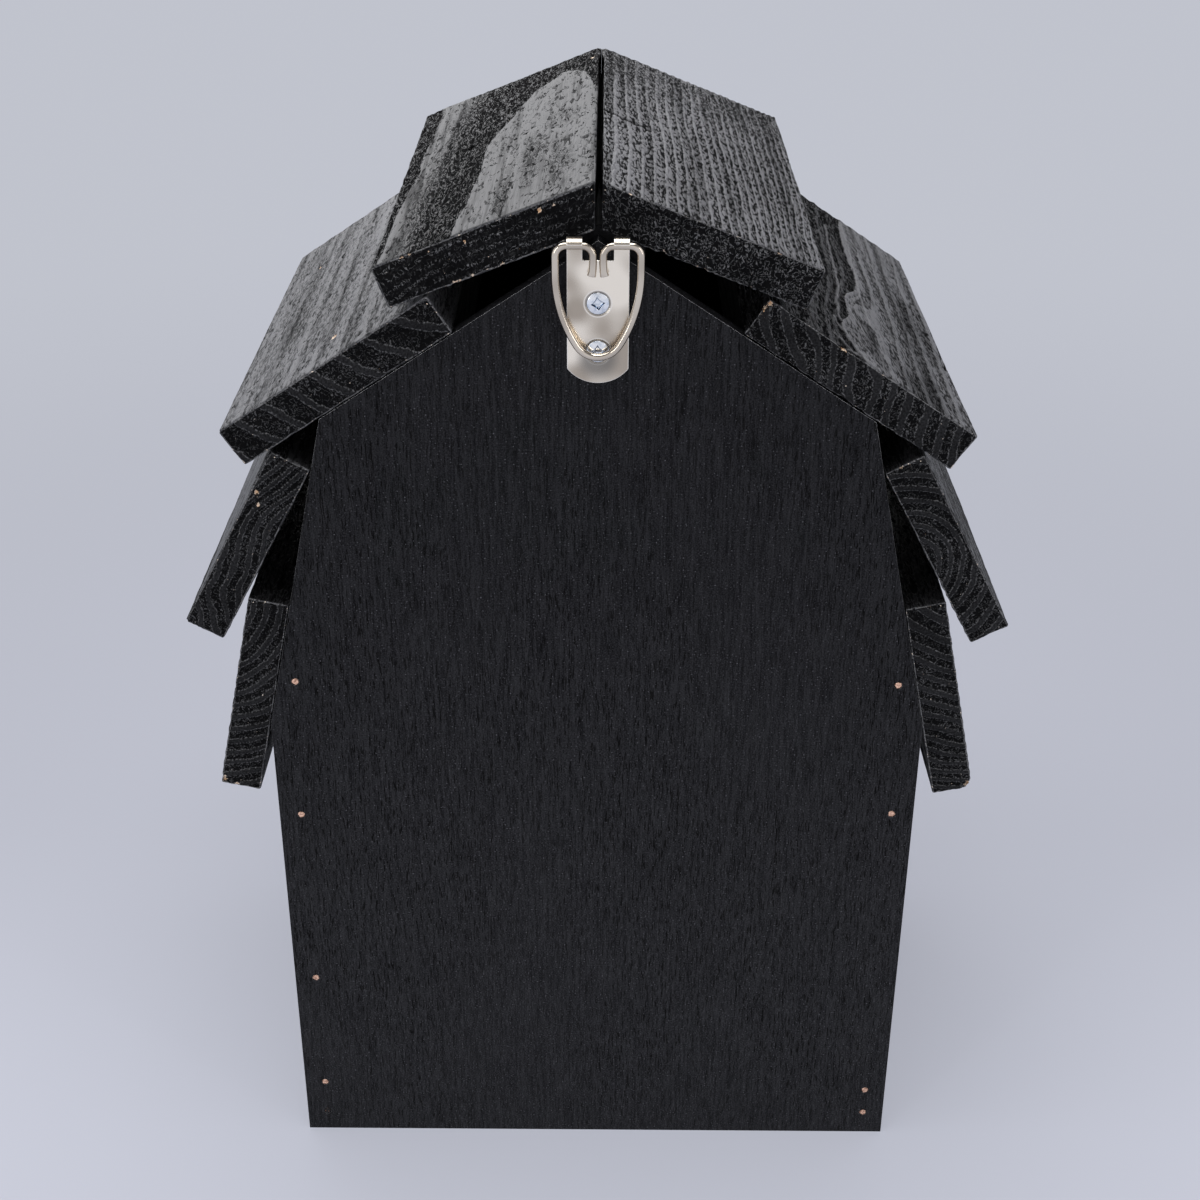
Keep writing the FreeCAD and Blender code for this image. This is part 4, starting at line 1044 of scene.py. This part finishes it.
def make_camera():
    data = bpy.data.cameras.new("camera")
    data.sensor_width = SENSOR_WIDTH
    data.lens = FOCAL_PIXELS / PHOTO_SIZE * SENSOR_WIDTH
    camera = add_object("camera", data)
    right = Vector((math.cos(CAMERA_YAW), math.sin(CAMERA_YAW), 0))
    forward = Vector((
        -math.sin(CAMERA_YAW) * math.cos(CAMERA_PITCH),
        math.cos(CAMERA_YAW) * math.cos(CAMERA_PITCH),
        -math.sin(CAMERA_PITCH),
    ))
    up = right.cross(forward)
    turned_right = math.cos(CAMERA_ROLL) * right + math.sin(CAMERA_ROLL) * up
    turned_up = math.cos(CAMERA_ROLL) * up - math.sin(CAMERA_ROLL) * right
    rear_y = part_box("back_panel")[0].y
    place = Vector((CAMERA_X, rear_y - CAMERA_BEHIND_PANEL, CAMERA_HEIGHT))
    basis = Matrix((turned_right, turned_up, -forward)).transposed().to_4x4()
    camera.matrix_world = Matrix.Translation(place) @ basis
    bpy.context.scene.camera = camera


# The pieces, from the boards inward, then the fixings and the stage

EDGE_WEAR_AND_HIGHLIGHT = 0.8
PANEL_ARRIS = 0.5
RAIL_ARRIS = 0.6
SHEET_ARRIS = 0.3
STAIN_DARK = (0.002, 0.002, 0.0025, 1)
STAIN_LIGHT = (0.010, 0.010, 0.012, 1)

for node, (side, wood) in BOARDS.items():
    make_board(node, side, wood)

ply, ply_edge = plywood("stained_plywood"), plywood("stained_plywood_edge", EDGE_WEAR_AND_HIGHLIGHT)
black_wall = rough_timber("stained_wall", STAIN_DARK, STAIN_LIGHT, (1, 1, 0.06), 0.25)
black_rail = rough_timber("stained_rail", STAIN_DARK, STAIN_LIGHT, (1, 0.06, 1), 0.25)
bare_sheet = rough_timber("bare_partition", (0.38, 0.26, 0.15, 1), (0.64, 0.49, 0.32, 1), (0.06, 1, 1), 0.3)
for node in ("back_panel", "front_panel"):
    softened(node, PANEL_ARRIS, ply, ply_edge)
for node in ("left_side_wall", "right_side_wall", "left_cheek", "right_cheek"):
    softened(node, PANEL_ARRIS, black_wall)
for node in ("left_gable_rail", "right_gable_rail", "ridge_beam"):
    softened(node, RAIL_ARRIS, black_rail)
for number in range(1, 5):
    softened("roost_partition_%d" % number, SHEET_ARRIS, bare_sheet)

plate_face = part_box("back_panel")[0].y - PLATE_THICKNESS * MM
screw_places = [
    Vector(((low.x + high.x) / 2, plate_face, (low.z + high.z) / 2)) for low, high in islands("hanger_screws")
]
# The plate, with a patch of painted shade under the wire just below the lowest screw.
nickel = metal("satin_nickel", (0.96, 0.88, 0.76, 1), (0.46, 0.40, 0.33, 1), 0.26,
               screw_places, screw_places[0] - Vector((0, 0, 2.5 * MM)))
bright_edge = metal("bright_nickel_edge", (0.98, 0.94, 0.88, 1), (0.90, 0.85, 0.78, 1), 0.30, screw_places)
softened("hanger_plate", PLATE_EDGE, nickel, bright_edge, mould=roll_ear)
make_bail()
make_screws()
make_pins("rear_panel_pins", -1)
make_pins("front_panel_pins", 1)

make_floor()
make_world()
soft_light("overhead", (-0.12, 0.05, 1.6), (0, 0, 0.2), 1.4, 1.4, 4.0)
soft_light("front_left", (-1.3, -1.6, 0.9), (0, 0, 0.3), 0.22, 1.2, 6.4)
soft_light("front_right", (1.5, -1.3, 0.9), (0, 0, 0.3), 0.22, 1.2, 4.6)
soft_light("behind", (-0.9, 2.8, 1.0), (0, 0, 0.3), 3.0, 1.4, 1.3)
make_camera()
bpy.context.scene.view_settings.view_transform = "Standard"
